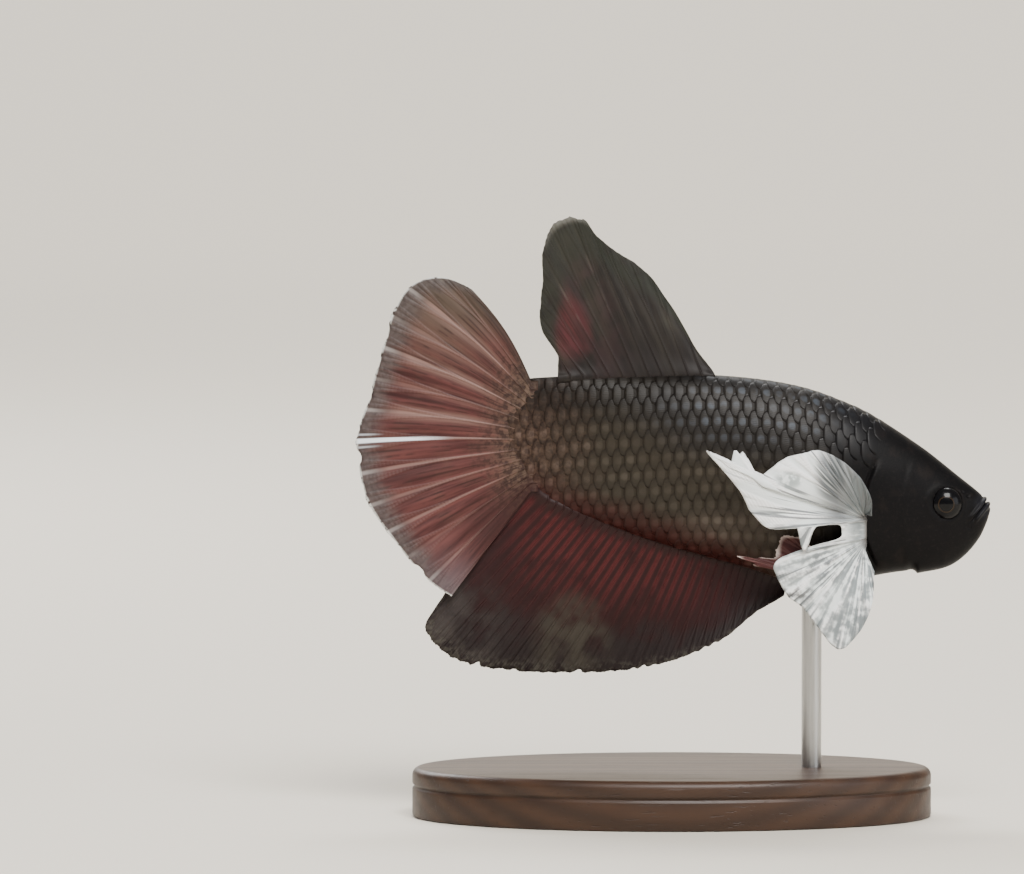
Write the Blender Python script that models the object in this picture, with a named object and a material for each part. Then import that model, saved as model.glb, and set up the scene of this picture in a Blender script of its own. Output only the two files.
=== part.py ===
"""Male plakat betta with large pale pectoral fins, as a life-size display model.

The fish faces +X with its fins spread and is carried by one rod on a flat oval base. Its right side
faces -Y. The origin is the centre of the base's underside. Lengths below are in millimetres.
"""

import math

import bmesh
import bpy
from mathutils import Vector

MM = 0.001

# Driving dimensions.
STANDARD_LENGTH = 46.0  # snout to the end of the tail stalk
SNOUT_X = 31.9
BODY_DEPTH = 20.0  # of the deepest section, which the outline below is a share of
BODY_WIDTH = 9.0
BODY_AXIS_Z = 34.0  # a level line through the body, above the floor
FIT_GAP = 0.25  # between neighbouring solids
EYE_GAP = 0.15

# The outline of the body: share of the standard length from the snout, then height from the axis as
# a share of the body depth, or half breadth as a share of the body width.
BACK_LINE = (
    (0.0, -0.135), (0.024, -0.075), (0.067, 0.005), (0.154, 0.162), (0.285, 0.35),
    (0.415, 0.465), (0.589, 0.52), (0.78, 0.52), (1.0, 0.505),
)
BELLY_LINE = (
    (0.0, -0.175), (0.024, -0.3), (0.067, -0.41), (0.111, -0.455), (0.198, -0.47), (0.345, -0.525),
    (0.43, -0.525), (0.541, -0.45), (0.735, -0.325), (0.911, -0.175), (1.0, -0.085),
)
WIDEST_LINE = ((0.0, -0.155), (0.1, -0.175), (0.2, -0.14), (0.35, -0.05), (0.55, 0.05), (0.8, 0.14), (1.0, 0.21))
HALF_BREADTH = (
    (0.0, 0.09), (0.03, 0.2), (0.1, 0.325), (0.18, 0.415), (0.3, 0.49), (0.42, 0.495),
    (0.55, 0.435), (0.7, 0.33), (0.85, 0.215), (0.94, 0.13), (1.0, 0.055),
)
# Below 1 a section is full and boxy, above 1 it thins towards the back and the belly.
SECTION_SHAPE = ((0.0, 0.7), (0.15, 0.8), (0.35, 0.92), (0.6, 1.05), (1.0, 1.1))
RING_POINTS = 28

HEAD_END = 0.305
TRUNK_END = 0.835

# The middle height of a fin is thicker at its rays than in the web between them.
RAY_HALF_THICKNESS = 0.36
WEB_HALF_THICKNESS = 0.25
WEB_REACH = 0.975  # the web stops short of the ray tips, which makes the edge ragged

BASE_LENGTH, BASE_WIDTH, BASE_HEIGHT = 52.0, 30.0, 5.0
ROD_RADIUS = 1.0
ROD_X = 14.0
ROD_DEPTH_IN_BASE = 3.0


def curve(points, at):
    """Height of a smooth curve through (position, height) points."""
    if at <= points[0][0]:
        return points[0][1]
    for i in range(len(points) - 1):
        (x0, y0), (x1, y1) = points[i], points[i + 1]
        if at > x1:
            continue
        before = points[max(i - 1, 0)]
        after = points[min(i + 2, len(points) - 1)]
        slope0 = (y1 - before[1]) / (x1 - before[0])
        slope1 = (after[1] - y0) / (after[0] - x0)
        width = x1 - x0
        f = (at - x0) / width
        return (
            y0 * (1 + 2 * f) * (1 - f) ** 2
            + slope0 * width * f * (1 - f) ** 2
            + y1 * f * f * (3 - 2 * f)
            - slope1 * width * f * f * (1 - f)
        )
    return points[-1][1]


def body_x(share):
    return SNOUT_X - share * STANDARD_LENGTH


def share_at(x):
    return (SNOUT_X - x) / STANDARD_LENGTH


def height(line, share):
    return BODY_AXIS_Z + BODY_DEPTH * curve(line, share)


def body_point(share, turn):
    """A point on the body. turn is 0 on the left flank, a quarter turn at the back, half on the right."""
    across, up = math.cos(turn), math.sin(turn)
    middle = height(WIDEST_LINE, share)
    reach = height(BACK_LINE, share) - middle if up > 0 else middle - height(BELLY_LINE, share)
    breadth = BODY_WIDTH * curve(HALF_BREADTH, share)
    y = breadth * math.copysign(abs(across) ** curve(SECTION_SHAPE, share), across)
    return Vector((body_x(share), y, middle + reach * up))


def flank(share, z):
    """Half breadth of the body at a height."""
    middle = height(WIDEST_LINE, share)
    edge = height(BACK_LINE, share) if z > middle else height(BELLY_LINE, share)
    up = min(1.0, abs(z - middle) / abs(edge - middle))
    return BODY_WIDTH * curve(HALF_BREADTH, share) * (1 - up * up) ** (curve(SECTION_SHAPE, share) / 2)


def clear_scene():
    for obj in list(bpy.data.objects):
        bpy.data.objects.remove(obj)


def material(name, colour, roughness, metallic=0.0):
    made = bpy.data.materials.get(name)
    if made:
        return made
    made = bpy.data.materials.new(name)
    made.use_nodes = True
    made.diffuse_color = (*colour, 1.0)
    shader = made.node_tree.nodes["Principled BSDF"]
    shader.inputs["Base Color"].default_value = (*colour, 1.0)
    shader.inputs["Roughness"].default_value = roughness
    shader.inputs["Metallic"].default_value = metallic
    return made


def add_object(name, bm, finish, smooth_angle=None):
    """Makes a named object from a bmesh in millimetres."""
    bmesh.ops.scale(bm, vec=(MM, MM, MM), verts=bm.verts)
    bmesh.ops.recalc_face_normals(bm, faces=bm.faces)
    if bm.calc_volume(signed=True) < 0:
        bmesh.ops.reverse_faces(bm, faces=bm.faces)
    mesh = bpy.data.meshes.new(name)
    bm.to_mesh(mesh)
    bm.free()
    if smooth_angle:
        mesh.shade_smooth()
        mesh.set_sharp_from_angle(angle=math.radians(smooth_angle))
    obj = bpy.data.objects.new(name, mesh)
    bpy.context.scene.collection.objects.link(obj)
    obj.data.materials.append(finish)
    return obj


def helper(obj):
    obj.hide_render = True
    obj.display_type = "WIRE"
    return obj


def boolean(obj, cutter, operation):
    modifier = obj.modifiers.new(operation.lower(), "BOOLEAN")
    modifier.operation = operation
    modifier.solver = "EXACT"
    modifier.object = cutter


def bridge(bm, first, second):
    for i, corner in enumerate(first):
        after = (i + 1) % len(first)
        bm.faces.new((corner, first[after], second[after], second[i]))


def body_section(name, start, end, steps, finish, close_up=0.0):
    """A length of the body between two shares. close_up packs its first rings towards the snout."""
    bm = bmesh.new()
    rings = []
    for step in range(steps + 1):
        f = (step / steps) ** (1 + close_up)
        share = start + (end - start) * f
        turns = [2 * math.pi * (k + 0.5) / RING_POINTS for k in range(RING_POINTS)]
        rings.append([bm.verts.new(body_point(share, turn)) for turn in turns])
    for first, second in zip(rings, rings[1:]):
        bridge(bm, first, second)
    bm.faces.new(rings[0])
    bm.faces.new(rings[-1])
    return add_object(name, bm, finish, smooth_angle=40)


def prism(name, outline, y_from, y_to):
    """A cutter: an outline in the XZ plane, carried across the body."""
    bm = bmesh.new()
    near = [bm.verts.new((x, y_from, z)) for x, z in outline]
    far = [bm.verts.new((x, y_to, z)) for x, z in outline]
    bm.faces.new(near)
    bm.faces.new(far)
    bridge(bm, near, far)
    return helper(add_object(name, bm, material("cutter", (0.5, 0.5, 0.5), 0.5)))


def ellipse(centre, radii, points=24):
    turns = [2 * math.pi * k / points for k in range(points)]
    return [(centre[0] + radii[0] * math.cos(a), centre[1] + radii[1] * math.sin(a)) for a in turns]


def ellipsoid(name, centre, radii, finish, segments=18, rings=10):
    bm = bmesh.new()
    bmesh.ops.create_uvsphere(bm, u_segments=segments, v_segments=rings, radius=1.0)
    bmesh.ops.scale(bm, vec=radii, verts=bm.verts)
    bmesh.ops.translate(bm, vec=centre, verts=bm.verts)
    return add_object(name, bm, finish, smooth_angle=60)


def fin(name, rays, rows, root, tip, sway, finish, bow=0.0):
    """A fan of rays with a web between them, as one closed sheet.

    root(u) is the point where the ray at share u of the base leaves the body, tip(u) its vector to
    the fin's edge, and sway(u, v) how far the sheet stands to one side at share v of the ray. bow is
    how far the middle of the first ray stands out from straight; the rays behind it bow less.
    """
    bm = bmesh.new()
    columns = 2 * rays - 1
    near, far = [], []
    for column in range(columns):
        u = column / (columns - 1)
        on_ray = column % 2 == 0
        half = RAY_HALF_THICKNESS if on_ray else WEB_HALF_THICKNESS
        reach = 1.0 if on_ray else WEB_REACH
        line = []
        for row in range(rows + 1):
            v = reach * row / rows
            point = root(u) + tip(u) * v
            outward = Vector((-tip(u).z, 0, tip(u).x)).normalized()
            point -= outward * bow * (1 - u) * math.sin(math.pi * v)
            point.y += sway(u, v)
            line.append((point, half * (1 - 0.25 * v)))
        near.append([bm.verts.new(p - Vector((0, h, 0))) for p, h in line])
        far.append([bm.verts.new(p + Vector((0, h, 0))) for p, h in line])
    for c in range(columns - 1):
        for r in range(rows):
            bm.faces.new((near[c][r], near[c + 1][r], near[c + 1][r + 1], near[c][r + 1]))
            bm.faces.new((far[c][r], far[c][r + 1], far[c + 1][r + 1], far[c + 1][r]))
        for r in (0, rows):
            bm.faces.new((near[c][r], far[c][r], far[c + 1][r], near[c + 1][r]))
    for c in (0, columns - 1):
        for r in range(rows):
            bm.faces.new((near[c][r], near[c][r + 1], far[c][r + 1], far[c][r]))
    return add_object(name, bm, finish, smooth_angle=25)


def ray_from(table, u, forward, up):
    """The vector of a ray: table rows are (share of the base, angle in degrees, length)."""
    angle = math.radians(curve([(row[0], row[1]) for row in table], u))
    length = curve([(row[0], row[2]) for row in table], u)
    return length * (math.cos(angle) * forward + math.sin(angle) * up)


def build_head():
    """Head with the eye sockets, the lower jaw and the two gill covers taken out of it."""
    black = material("head_black", (0.012, 0.012, 0.014), 0.45)
    head = body_section("head", 0.0, HEAD_END, 12, black, close_up=0.6)
    jaw = body_section("lower_jaw", 0.0, HEAD_END, 12, black, close_up=0.6)

    # The mouth slants down and back from the snout, and the jaw ends at the throat.
    mouth_tip, mouth_corner, jaw_angle, throat = (33.0, 31.85), (29.6, 29.0), (28.0, 27.6), (26.2, 22.0)
    front = (35.0, 22.0)
    jaw_cutter = prism("jaw_shape", (mouth_tip, mouth_corner, jaw_angle, throat, front), -9, 9)
    lift = FIT_GAP
    grown = [
        (mouth_tip[0], mouth_tip[1] + lift * 1.3), (mouth_corner[0] - 0.1, mouth_corner[1] + lift),
        (jaw_angle[0] - lift, jaw_angle[1] + lift * 0.5), (throat[0] - lift, throat[1]), front,
    ]
    head_jaw_cutter = prism("jaw_room", grown, -9.5, 9.5)
    boolean(jaw, jaw_cutter, "INTERSECT")
    boolean(head, head_jaw_cutter, "DIFFERENCE")

    cover_centre, cover_radii = (21.5, 30.8), (2.6, 5.2)
    for side, sign in (("right", -1), ("left", 1)):
        inner = 2.9 * sign
        cover = body_section(f"gill_cover_{side}", 0.0, HEAD_END, 12, black, close_up=0.6)
        shape = prism(f"gill_shape_{side}", ellipse(cover_centre, cover_radii), inner, 9 * sign)
        room_radii = (cover_radii[0] + FIT_GAP, cover_radii[1] + FIT_GAP)
        room = prism(f"gill_room_{side}", ellipse(cover_centre, room_radii), inner - FIT_GAP * sign, 9.5 * sign)
        boolean(cover, shape, "INTERSECT")
        boolean(head, room, "DIFFERENCE")

    eye_centre, eye_radii = (27.3, 2.45, 31.6), (1.65, 1.1, 1.65)
    eye_finish = material("eye_dark", (0.006, 0.006, 0.008), 0.08)
    for side, sign in (("right", -1), ("left", 1)):
        centre = (eye_centre[0], eye_centre[1] * sign, eye_centre[2])
        ellipsoid(f"eye_{side}", centre, eye_radii, eye_finish)
        socket_radii = [r + EYE_GAP for r in eye_radii]
        boolean(head, helper(ellipsoid(f"eye_socket_{side}", centre, socket_radii, eye_finish)), "DIFFERENCE")


def build_trunk():
    olive = material("trunk_olive_grey", (0.06, 0.052, 0.045), 0.42)
    gap_share = FIT_GAP / STANDARD_LENGTH
    body_section("trunk", HEAD_END + gap_share, TRUNK_END, 12, olive)
    body_section("tail_stalk", TRUNK_END + gap_share, 1.0, 5, olive)


def build_dorsal_fin():
    start, end = 0.6, 0.942  # shares of the standard length
    table = (
        (0.0, 53, 1.7), (0.06, 65.4, 4.7), (0.12, 68.5, 8.2), (0.2, 69, 11.3), (0.28, 66, 13.0),
        (0.36, 65.8, 14.5), (0.43, 67.8, 16.2), (0.5, 67.6, 16.9), (0.57, 64.1, 16.3), (0.65, 61.4, 14.3),
        (0.74, 57.3, 10.5), (0.82, 53.7, 7.8), (0.89, 53.6, 5.2), (0.95, 70.8, 2.9), (1.0, 93.8, 2.0),
    )

    def root(u):
        share = start + (end - start) * u
        return Vector((body_x(share), 0, height(BACK_LINE, share) + FIT_GAP))

    def tip(u):
        return ray_from(table, u, Vector((-1, 0, 0)), Vector((0, 0, 1)))

    def sway(u, v):
        return 0.9 * v * v * math.sin(2 * math.pi * (0.9 * u + 0.15))

    fin("dorsal_fin", 13, 6, root, tip, sway, material("dorsal_fin_grey", (0.05, 0.042, 0.037), 0.5))


def build_anal_fin():
    start, end = 0.442, 0.995
    table = (
        (0.0, 75.8, 1.5), (0.08, 73.1, 3.9), (0.16, 73.1, 7.2), (0.25, 72.8, 9.5), (0.34, 68.2, 11.9),
        (0.45, 65.8, 13.7), (0.56, 58.7, 15.8), (0.66, 55.6, 17.3), (0.75, 52.4, 18.5), (0.83, 50.6, 19.0),
        (0.9, 48.4, 18.5), (0.95, 46.3, 17.5), (1.0, 49.6, 13.3),
    )

    def root(u):
        share = start + (end - start) * u
        return Vector((body_x(share), 0, height(BELLY_LINE, share) - FIT_GAP))

    def tip(u):
        return ray_from(table, u, Vector((-1, 0, 0)), Vector((0, 0, -1)))

    def sway(u, v):
        return -1.1 * v * v * math.sin(2 * math.pi * (1.15 * u + 0.1))

    fin("anal_fin", 24, 6, root, tip, sway, material("anal_fin_red", (0.075, 0.014, 0.016), 0.5))


def build_caudal_fin():
    """Tail fin: its roots stand in a line just behind the end of the tail stalk."""
    table = (
        (0.0, 56.8, 11.1), (0.062, 51.6, 14.1), (0.14, 43.2, 16.4), (0.226, 33.2, 16.6), (0.287, 26.6, 16.2),
        (0.43, 10.7, 16.3), (0.527, 0.7, 17.4), (0.625, -9.4, 17.2), (0.68, -15.4, 17.0),
        (0.8, -28.2, 15.4), (0.917, -43.1, 14.2), (1.0, -52.4, 13.2),
    )
    top, bottom = height(BACK_LINE, 1.0), height(BELLY_LINE, 1.0)

    def root(u):
        z = top + (bottom - top) * (0.03 + 0.94 * u)
        return Vector((body_x(1.0) - FIT_GAP, 0, z))

    def tip(u):
        return ray_from(table, u, Vector((-1, 0, 0)), Vector((0, 0, 1)))

    def sway(u, v):
        return 1.2 * v * v * math.sin(2 * math.pi * (0.75 * u + 0.05))

    fin("caudal_fin", 19, 6, root, tip, sway, material("caudal_fin_red", (0.13, 0.035, 0.035), 0.5), bow=0.6)


def build_pectoral_fins():
    """Large white fans behind the gill covers. The right one folds to a forked point at its far end."""
    white = material("pectoral_white", (0.8, 0.83, 0.84), 0.45)
    front = ((0.0, 173.7, 1.8), (0.05, 119.8, 2.8), (0.1, 93.8, 4.5))
    lower_lobe = (
        (0.64, -13, 4.5), (0.68, -20, 8.5), (0.73, -40.5, 8.6), (0.78, -53.5, 8.2), (0.83, -67.6, 9.2),
        (0.88, -83.0, 10.6), (0.92, -93.2, 8.8), (0.96, -107.8, 6.2), (1.0, -129.8, 3.1),
    )
    tables = {
        "right": front + (
            (0.15, 78.4, 6.5), (0.2, 65.2, 8.1), (0.25, 51.7, 9.0), (0.3, 40.5, 9.6), (0.335, 37.2, 10.6),
            (0.365, 35.4, 13.9), (0.4, 31.5, 13.4), (0.44, 28.7, 16.5), (0.48, 21.2, 12.6),
            (0.52, 13.1, 10.0), (0.56, 2.8, 7.5), (0.6, 1.2, 3.9),
        ) + lower_lobe,
        "left": front + (
            (0.16, 76.7, 6.5), (0.23, 62.6, 8.3), (0.31, 46.1, 9.7), (0.39, 28.7, 10.6), (0.46, 15.1, 11.1),
            (0.52, 5.7, 9.5), (0.57, -1.6, 7.3), (0.6, -4.7, 3.9),
        ) + lower_lobe,
    }
    base_x, base_top, base_bottom = 17.9, 30.2, 27.4
    stand_off = FIT_GAP + RAY_HALF_THICKNESS
    for side, sign in (("right", -1), ("left", 1)):
        table = tables[side]

        def root(u, sign=sign):
            z = base_top + (base_bottom - base_top) * u
            return Vector((base_x, sign * (flank(share_at(base_x), z) + stand_off), z))

        def tip(u, table=table):
            return ray_from(table, u, Vector((-1, 0, 0)), Vector((0, 0, 1)))

        def sway(u, v, sign=sign):
            flare = 3.4 - 1.2 * u
            cup = 1.3 * (1 - u)
            return sign * (flare * math.sin(v * math.pi / 2) + cup * math.sin(v * math.pi))

        fin(f"pectoral_fin_{side}", 20, 5, root, tip, sway, white)


def build_ventral_fins():
    """Two narrow feelers from the throat, trailing along the flanks."""
    finish = material("ventral_fin_brown", (0.16, 0.06, 0.06), 0.5)
    table = ((0.0, 49, 6.9), (0.25, 36.9, 8.6), (0.5, 19.6, 8.0), (0.78, 14.7, 11.3), (1.0, 11.4, 9.0))
    root_x, root_width, root_y = 17.4, 1.2, 2.0
    for side, sign in (("right", -1), ("left", 1)):

        def root(u, sign=sign):
            z = height(BELLY_LINE, share_at(root_x)) - 0.25
            return Vector((root_x - root_width * (u - 0.5), sign * root_y, z))

        def tip(u):
            return ray_from(table, u, Vector((-1, 0, 0)), Vector((0, 0, 1)))

        def sway(u, v, sign=sign):
            return sign * 2.9 * math.sin(min(1.0, 1.7 * v) * math.pi / 2)

        fin(f"ventral_fin_{side}", 5, 6, root, tip, sway, finish)


def build_stand():
    """A flat oval base with one rod up to the belly."""
    wood = material("stand_wood", (0.16, 0.09, 0.05), 0.4)
    steel = material("stand_steel", (0.62, 0.62, 0.62), 0.3, 1.0)
    bm = bmesh.new()
    bmesh.ops.create_cone(
        bm, cap_ends=True, segments=56, radius1=0.5, radius2=0.5, depth=1.0
    )
    bmesh.ops.scale(bm, vec=(BASE_LENGTH, BASE_WIDTH, BASE_HEIGHT), verts=bm.verts)
    bmesh.ops.translate(bm, vec=(0, 0, BASE_HEIGHT / 2), verts=bm.verts)
    top_edges = [e for e in bm.edges if all(v.co.z > BASE_HEIGHT / 2 for v in e.verts)]
    bmesh.ops.bevel(bm, geom=top_edges, offset=0.8, segments=3, profile=0.5, affect="EDGES")
    base = add_object("stand_base", bm, wood, smooth_angle=35)

    def post(name, radius, low, high, finish):
        bm = bmesh.new()
        bmesh.ops.create_cone(
            bm, cap_ends=True, segments=24, radius1=radius, radius2=radius, depth=high - low
        )
        bmesh.ops.translate(bm, vec=(ROD_X, 0, (low + high) / 2), verts=bm.verts)
        return add_object(name, bm, finish, smooth_angle=40)

    rod_foot = BASE_HEIGHT - ROD_DEPTH_IN_BASE
    rod_top = height(BELLY_LINE, share_at(ROD_X)) - FIT_GAP
    post("stand_rod", ROD_RADIUS, rod_foot + 0.1, rod_top, steel)
    bore = helper(post("rod_bore", ROD_RADIUS + 0.1, rod_foot, BASE_HEIGHT + 2, steel))
    boolean(base, bore, "DIFFERENCE")


clear_scene()
build_head()
build_trunk()
build_dorsal_fin()
build_anal_fin()
build_caudal_fin()
build_pectoral_fins()
build_ventral_fins()
build_stand()
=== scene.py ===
"""Male plakat betta with large pale pectoral fins, fins spread, on a plain display stand."""

import math

import bmesh
import bpy
import numpy as np
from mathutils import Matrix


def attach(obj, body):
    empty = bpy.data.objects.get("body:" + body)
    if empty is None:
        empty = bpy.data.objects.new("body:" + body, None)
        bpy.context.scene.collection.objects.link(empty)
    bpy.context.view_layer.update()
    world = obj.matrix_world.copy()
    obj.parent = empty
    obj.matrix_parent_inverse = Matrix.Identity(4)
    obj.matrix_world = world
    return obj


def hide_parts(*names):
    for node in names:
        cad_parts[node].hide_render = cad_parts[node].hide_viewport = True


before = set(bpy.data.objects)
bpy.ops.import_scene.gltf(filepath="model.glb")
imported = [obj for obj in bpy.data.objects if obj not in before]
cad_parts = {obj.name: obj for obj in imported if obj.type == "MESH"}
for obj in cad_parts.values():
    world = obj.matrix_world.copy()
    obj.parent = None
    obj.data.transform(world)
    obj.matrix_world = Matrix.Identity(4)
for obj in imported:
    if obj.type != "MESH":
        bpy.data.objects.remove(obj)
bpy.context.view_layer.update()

# ---------------------------------------------------------------------------------------------------
# Body. Head, trunk and tail stalk are one skin over firm flesh, drawn from a side outline, a breadth
# and a section shape. Lips, nostrils, eye rims and the free edge of each gill cover stand in its relief.
# Lengths are in millimetres until the mesh is made.

STANDARD_LENGTH = 46.0
SNOUT_X = 31.9
BODY_DEPTH = 20.0
BODY_WIDTH = 9.0
BODY_AXIS_Z = 34.0
SCALE_DEPTH = 0.13  # the skin lies this far under the outline where scales cover it

# Share of the standard length from the snout, then height as a share of the depth.
BACK_LINE = (
    (0.0, -0.135), (0.024, -0.075), (0.067, 0.005), (0.154, 0.162), (0.285, 0.35),
    (0.415, 0.465), (0.589, 0.52), (0.78, 0.52), (1.0, 0.505), (1.035, 0.465), (1.065, 0.375), (1.09, 0.22),
)
BELLY_LINE = (
    (0.0, -0.175), (0.024, -0.3), (0.067, -0.41), (0.111, -0.455), (0.198, -0.47), (0.345, -0.525),
    (0.43, -0.525), (0.541, -0.45), (0.735, -0.325), (0.911, -0.175), (1.0, -0.085), (1.035, -0.04),
    (1.065, 0.05), (1.09, 0.2),
)
WIDEST_LINE = (
    (0.0, -0.155), (0.1, -0.175), (0.2, -0.14), (0.35, -0.05), (0.55, 0.05), (0.8, 0.14), (1.0, 0.21),
    (1.09, 0.21),
)
HALF_BREADTH = (
    (0.0, 0.09), (0.03, 0.2), (0.1, 0.325), (0.18, 0.415), (0.3, 0.49), (0.42, 0.495),
    (0.55, 0.435), (0.7, 0.33), (0.85, 0.215), (0.94, 0.125), (1.0, 0.065), (1.045, 0.04), (1.09, 0.016),
)
SECTION_SHAPE = ((0.0, 0.7), (0.15, 0.8), (0.35, 0.92), (0.6, 1.05), (1.0, 1.1))
BODY_END = 1.09
SNOUT_ROUNDING = 0.008

EYE_X, EYE_Y, EYE_Z = 27.3, 2.45, 31.6
EYE_RADIUS, EYE_BULGE = 1.65, 1.1

# Places on the side of the head as x and z: both ends of the gape, and each nostril with its size.
GAPE_START, GAPE_END, MOUTH_CORNER = (31.75, 31.95), (30.05, 29.95), (29.75, 29.45)
NOSTRILS = ((29.55, 32.35, 0.17), (28.95, 32.75, 0.14))
# The free edge of the gill cover bends forward above and below its rearmost point.
GILL_X, GILL_Z, GILL_BEND = 18.95, 30.6, 0.055
COVERED_FROM, COVERED_BY = 0.27, 0.34  # shares of the length between which the scales begin
BARE_RISE = 0.1  # how much higher the skin lies where it is bare


def curve(table, at, column=1):
    """Values of a smooth curve at an array of positions. Rows of the table start with a position."""
    x, y = np.array(table, float).T[[0, column]]
    slope = np.empty_like(y)
    slope[1:-1] = (y[2:] - y[:-2]) / (x[2:] - x[:-2])
    slope[0] = (y[1] - y[0]) / (x[1] - x[0])
    slope[-1] = (y[-1] - y[-2]) / (x[-1] - x[-2])
    at = np.clip(at, x[0], x[-1])
    i = np.clip(np.searchsorted(x, at) - 1, 0, len(x) - 2)
    width = x[i + 1] - x[i]
    f = (at - x[i]) / width
    return (
        y[i] * (1 + 2 * f) * (1 - f) ** 2
        + slope[i] * width * f * (1 - f) ** 2
        + y[i + 1] * f * f * (3 - 2 * f)
        - slope[i + 1] * width * f * f * (1 - f)
    )


def body_x(share):
    """X at a share of the standard length from the snout."""
    return SNOUT_X - share * STANDARD_LENGTH


def share_at(x):
    return (SNOUT_X - x) / STANDARD_LENGTH


def height(line, share):
    """Z of a line along the body at a share of its length."""
    return BODY_AXIS_Z + BODY_DEPTH * curve(line, share)


def ramp(value, low, high):
    """0 below low and 1 above high, with soft ends."""
    f = np.clip((value - low) / (high - low), 0, 1)
    return f * f * (3 - 2 * f)


def bell(value, middle, width):
    """1 at the middle, falling away softly on both sides."""
    return np.exp(-(((value - middle) / width) ** 2))


def body_surface(share, turn):
    """Points on the outline of the body. turn is a quarter turn at the back and half on the right."""
    share, turn = np.broadcast_arrays(share, turn)
    across, up = np.cos(turn), np.sin(turn)
    middle = height(WIDEST_LINE, share)
    reach = np.where(up > 0, height(BACK_LINE, share) - middle, middle - height(BELLY_LINE, share))
    breadth = BODY_WIDTH * curve(HALF_BREADTH, share)
    closing = np.sqrt(1 - (1 - np.clip(share / SNOUT_ROUNDING, 0.004, 1)) ** 2)
    y = closing * breadth * np.sign(across) * np.abs(across) ** curve(SECTION_SHAPE, share)
    return np.stack([body_x(share), y, middle + closing * reach * up], -1)


def unit(vectors):
    """Vectors made one long. A vector of no length stays so."""
    return vectors / np.maximum(np.linalg.norm(vectors, axis=-1, keepdims=True), 1e-9)


def outward_normals(grid):
    """Unit normals of a closed grid of rings, pointing away from its axis."""
    round_it = np.roll(grid, -1, 1) - np.roll(grid, 1, 1)
    normal = unit(np.cross(np.gradient(grid, axis=0), round_it))
    away = grid - grid.mean(axis=1, keepdims=True)
    return normal * np.sign((normal * away).sum(-1, keepdims=True) + 1e-12)


def gill_edge(z):
    """X of the free edge of the gill cover at a height."""
    return GILL_X + GILL_BEND * (z - GILL_Z) ** 2


def head_relief(place):
    """How far the skin stands out from the plain outline of the head, in millimetres."""
    x, y, z = place[..., 0], place[..., 1], place[..., 2]

    # The gape runs down and back from the snout, between two lips.
    along = np.subtract(GAPE_END, GAPE_START)
    length = np.linalg.norm(along)
    along = along / length
    from_start = (x - GAPE_START[0], z - GAPE_START[1])
    reach = (from_start[0] * along[0] + from_start[1] * along[1]) / length
    above = from_start[0] * along[1] - from_start[1] * along[0]
    open_part = 1 - ramp(reach, 0.9, 1.1)
    lip = open_part * (0.2 * bell(above, 0.3, 0.19) + 0.18 * bell(above, -0.28, 0.18))
    gape = -0.34 * open_part * bell(above, 0, 0.085)
    off_corner = np.hypot(x - MOUTH_CORNER[0], z - MOUTH_CORNER[1])
    corner_fold = -0.1 * bell(off_corner, 0.32, 0.12) * (x < 29.9)

    # Upper lip folds against the snout, and the chin has a soft groove behind the lower lip.
    lip_back = -0.07 * bell(above, 0.62, 0.12) * open_part
    chin_groove = -0.06 * bell(above, -0.66, 0.14) * open_part

    # Two nostrils each side, the front one a short tube.
    nostril = 0.0
    for nostril_x, nostril_z, size in NOSTRILS:
        off = np.hypot(x - nostril_x, z - nostril_z)
        nostril = nostril - 0.16 * bell(off, 0, size * 0.7) + 0.07 * bell(off, size * 1.5, size * 0.6)

    off_eye = np.hypot(x - EYE_X, z - EYE_Z)
    rim = 0.1 * bell(off_eye, 1.78, 0.15) - 0.1 * bell(off_eye, 1.56, 0.08)
    socket = -0.45 * (1 - ramp(off_eye, 0.9, 1.4))
    brow = 0.05 * bell(off_eye, 1.95, 0.3) * ramp(z, EYE_Z, EYE_Z + 1.2)

    # Free edge of the gill cover, then the groove over the gill opening behind it.
    edge = x - gill_edge(z)
    window = ramp(z, 24.9, 26.6) * (1 - ramp(z, 34.6, 36.4))
    cover = 0.13 * ramp(edge, -0.03, 0.14) * np.exp(-np.maximum(edge, 0) / 1.7)
    opening = -0.32 * bell(edge, -0.16, 0.17) - 0.12 * bell(edge, -0.6, 0.5)
    inner_edge = x - (22.6 + 0.03 * (z - 30.0) ** 2)
    cheek = window * (-0.055 * bell(inner_edge, 0, 0.16) + 0.035 * bell(inner_edge, 0.45, 0.35))

    # The gill membranes meet under the throat in a fold with a free rear edge.
    behind_fold = -0.12 * bell(x, 23.9, 0.35)
    fold = 0.3 * ramp(x, 24.2, 24.55) * np.exp(-np.maximum(x - 24.55, 0) / 1.4)
    throat = (fold + behind_fold) * (1 - ramp(z, 24.9, 26.0))
    on_flank = ramp(np.abs(y), 0.6, 1.2)
    face = ramp(x, 22.5, 24)
    return (
        lip + gape + corner_fold + lip_back + chin_groove
        + on_flank * face * (nostril + rim + socket + brow)
        + on_flank * (window * (cover + opening) + cheek) * (1 - ramp(x, 25.5, 26.5))
        + throat
    )


def skin_level(share, place):
    """How far the skin lies above the outline: sunk where scales cover it, in relief where bare."""
    bare = 1 - ramp(share, COVERED_FROM, COVERED_BY)
    return head_relief(place) * bare - SCALE_DEPTH + BARE_RISE * bare


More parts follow.
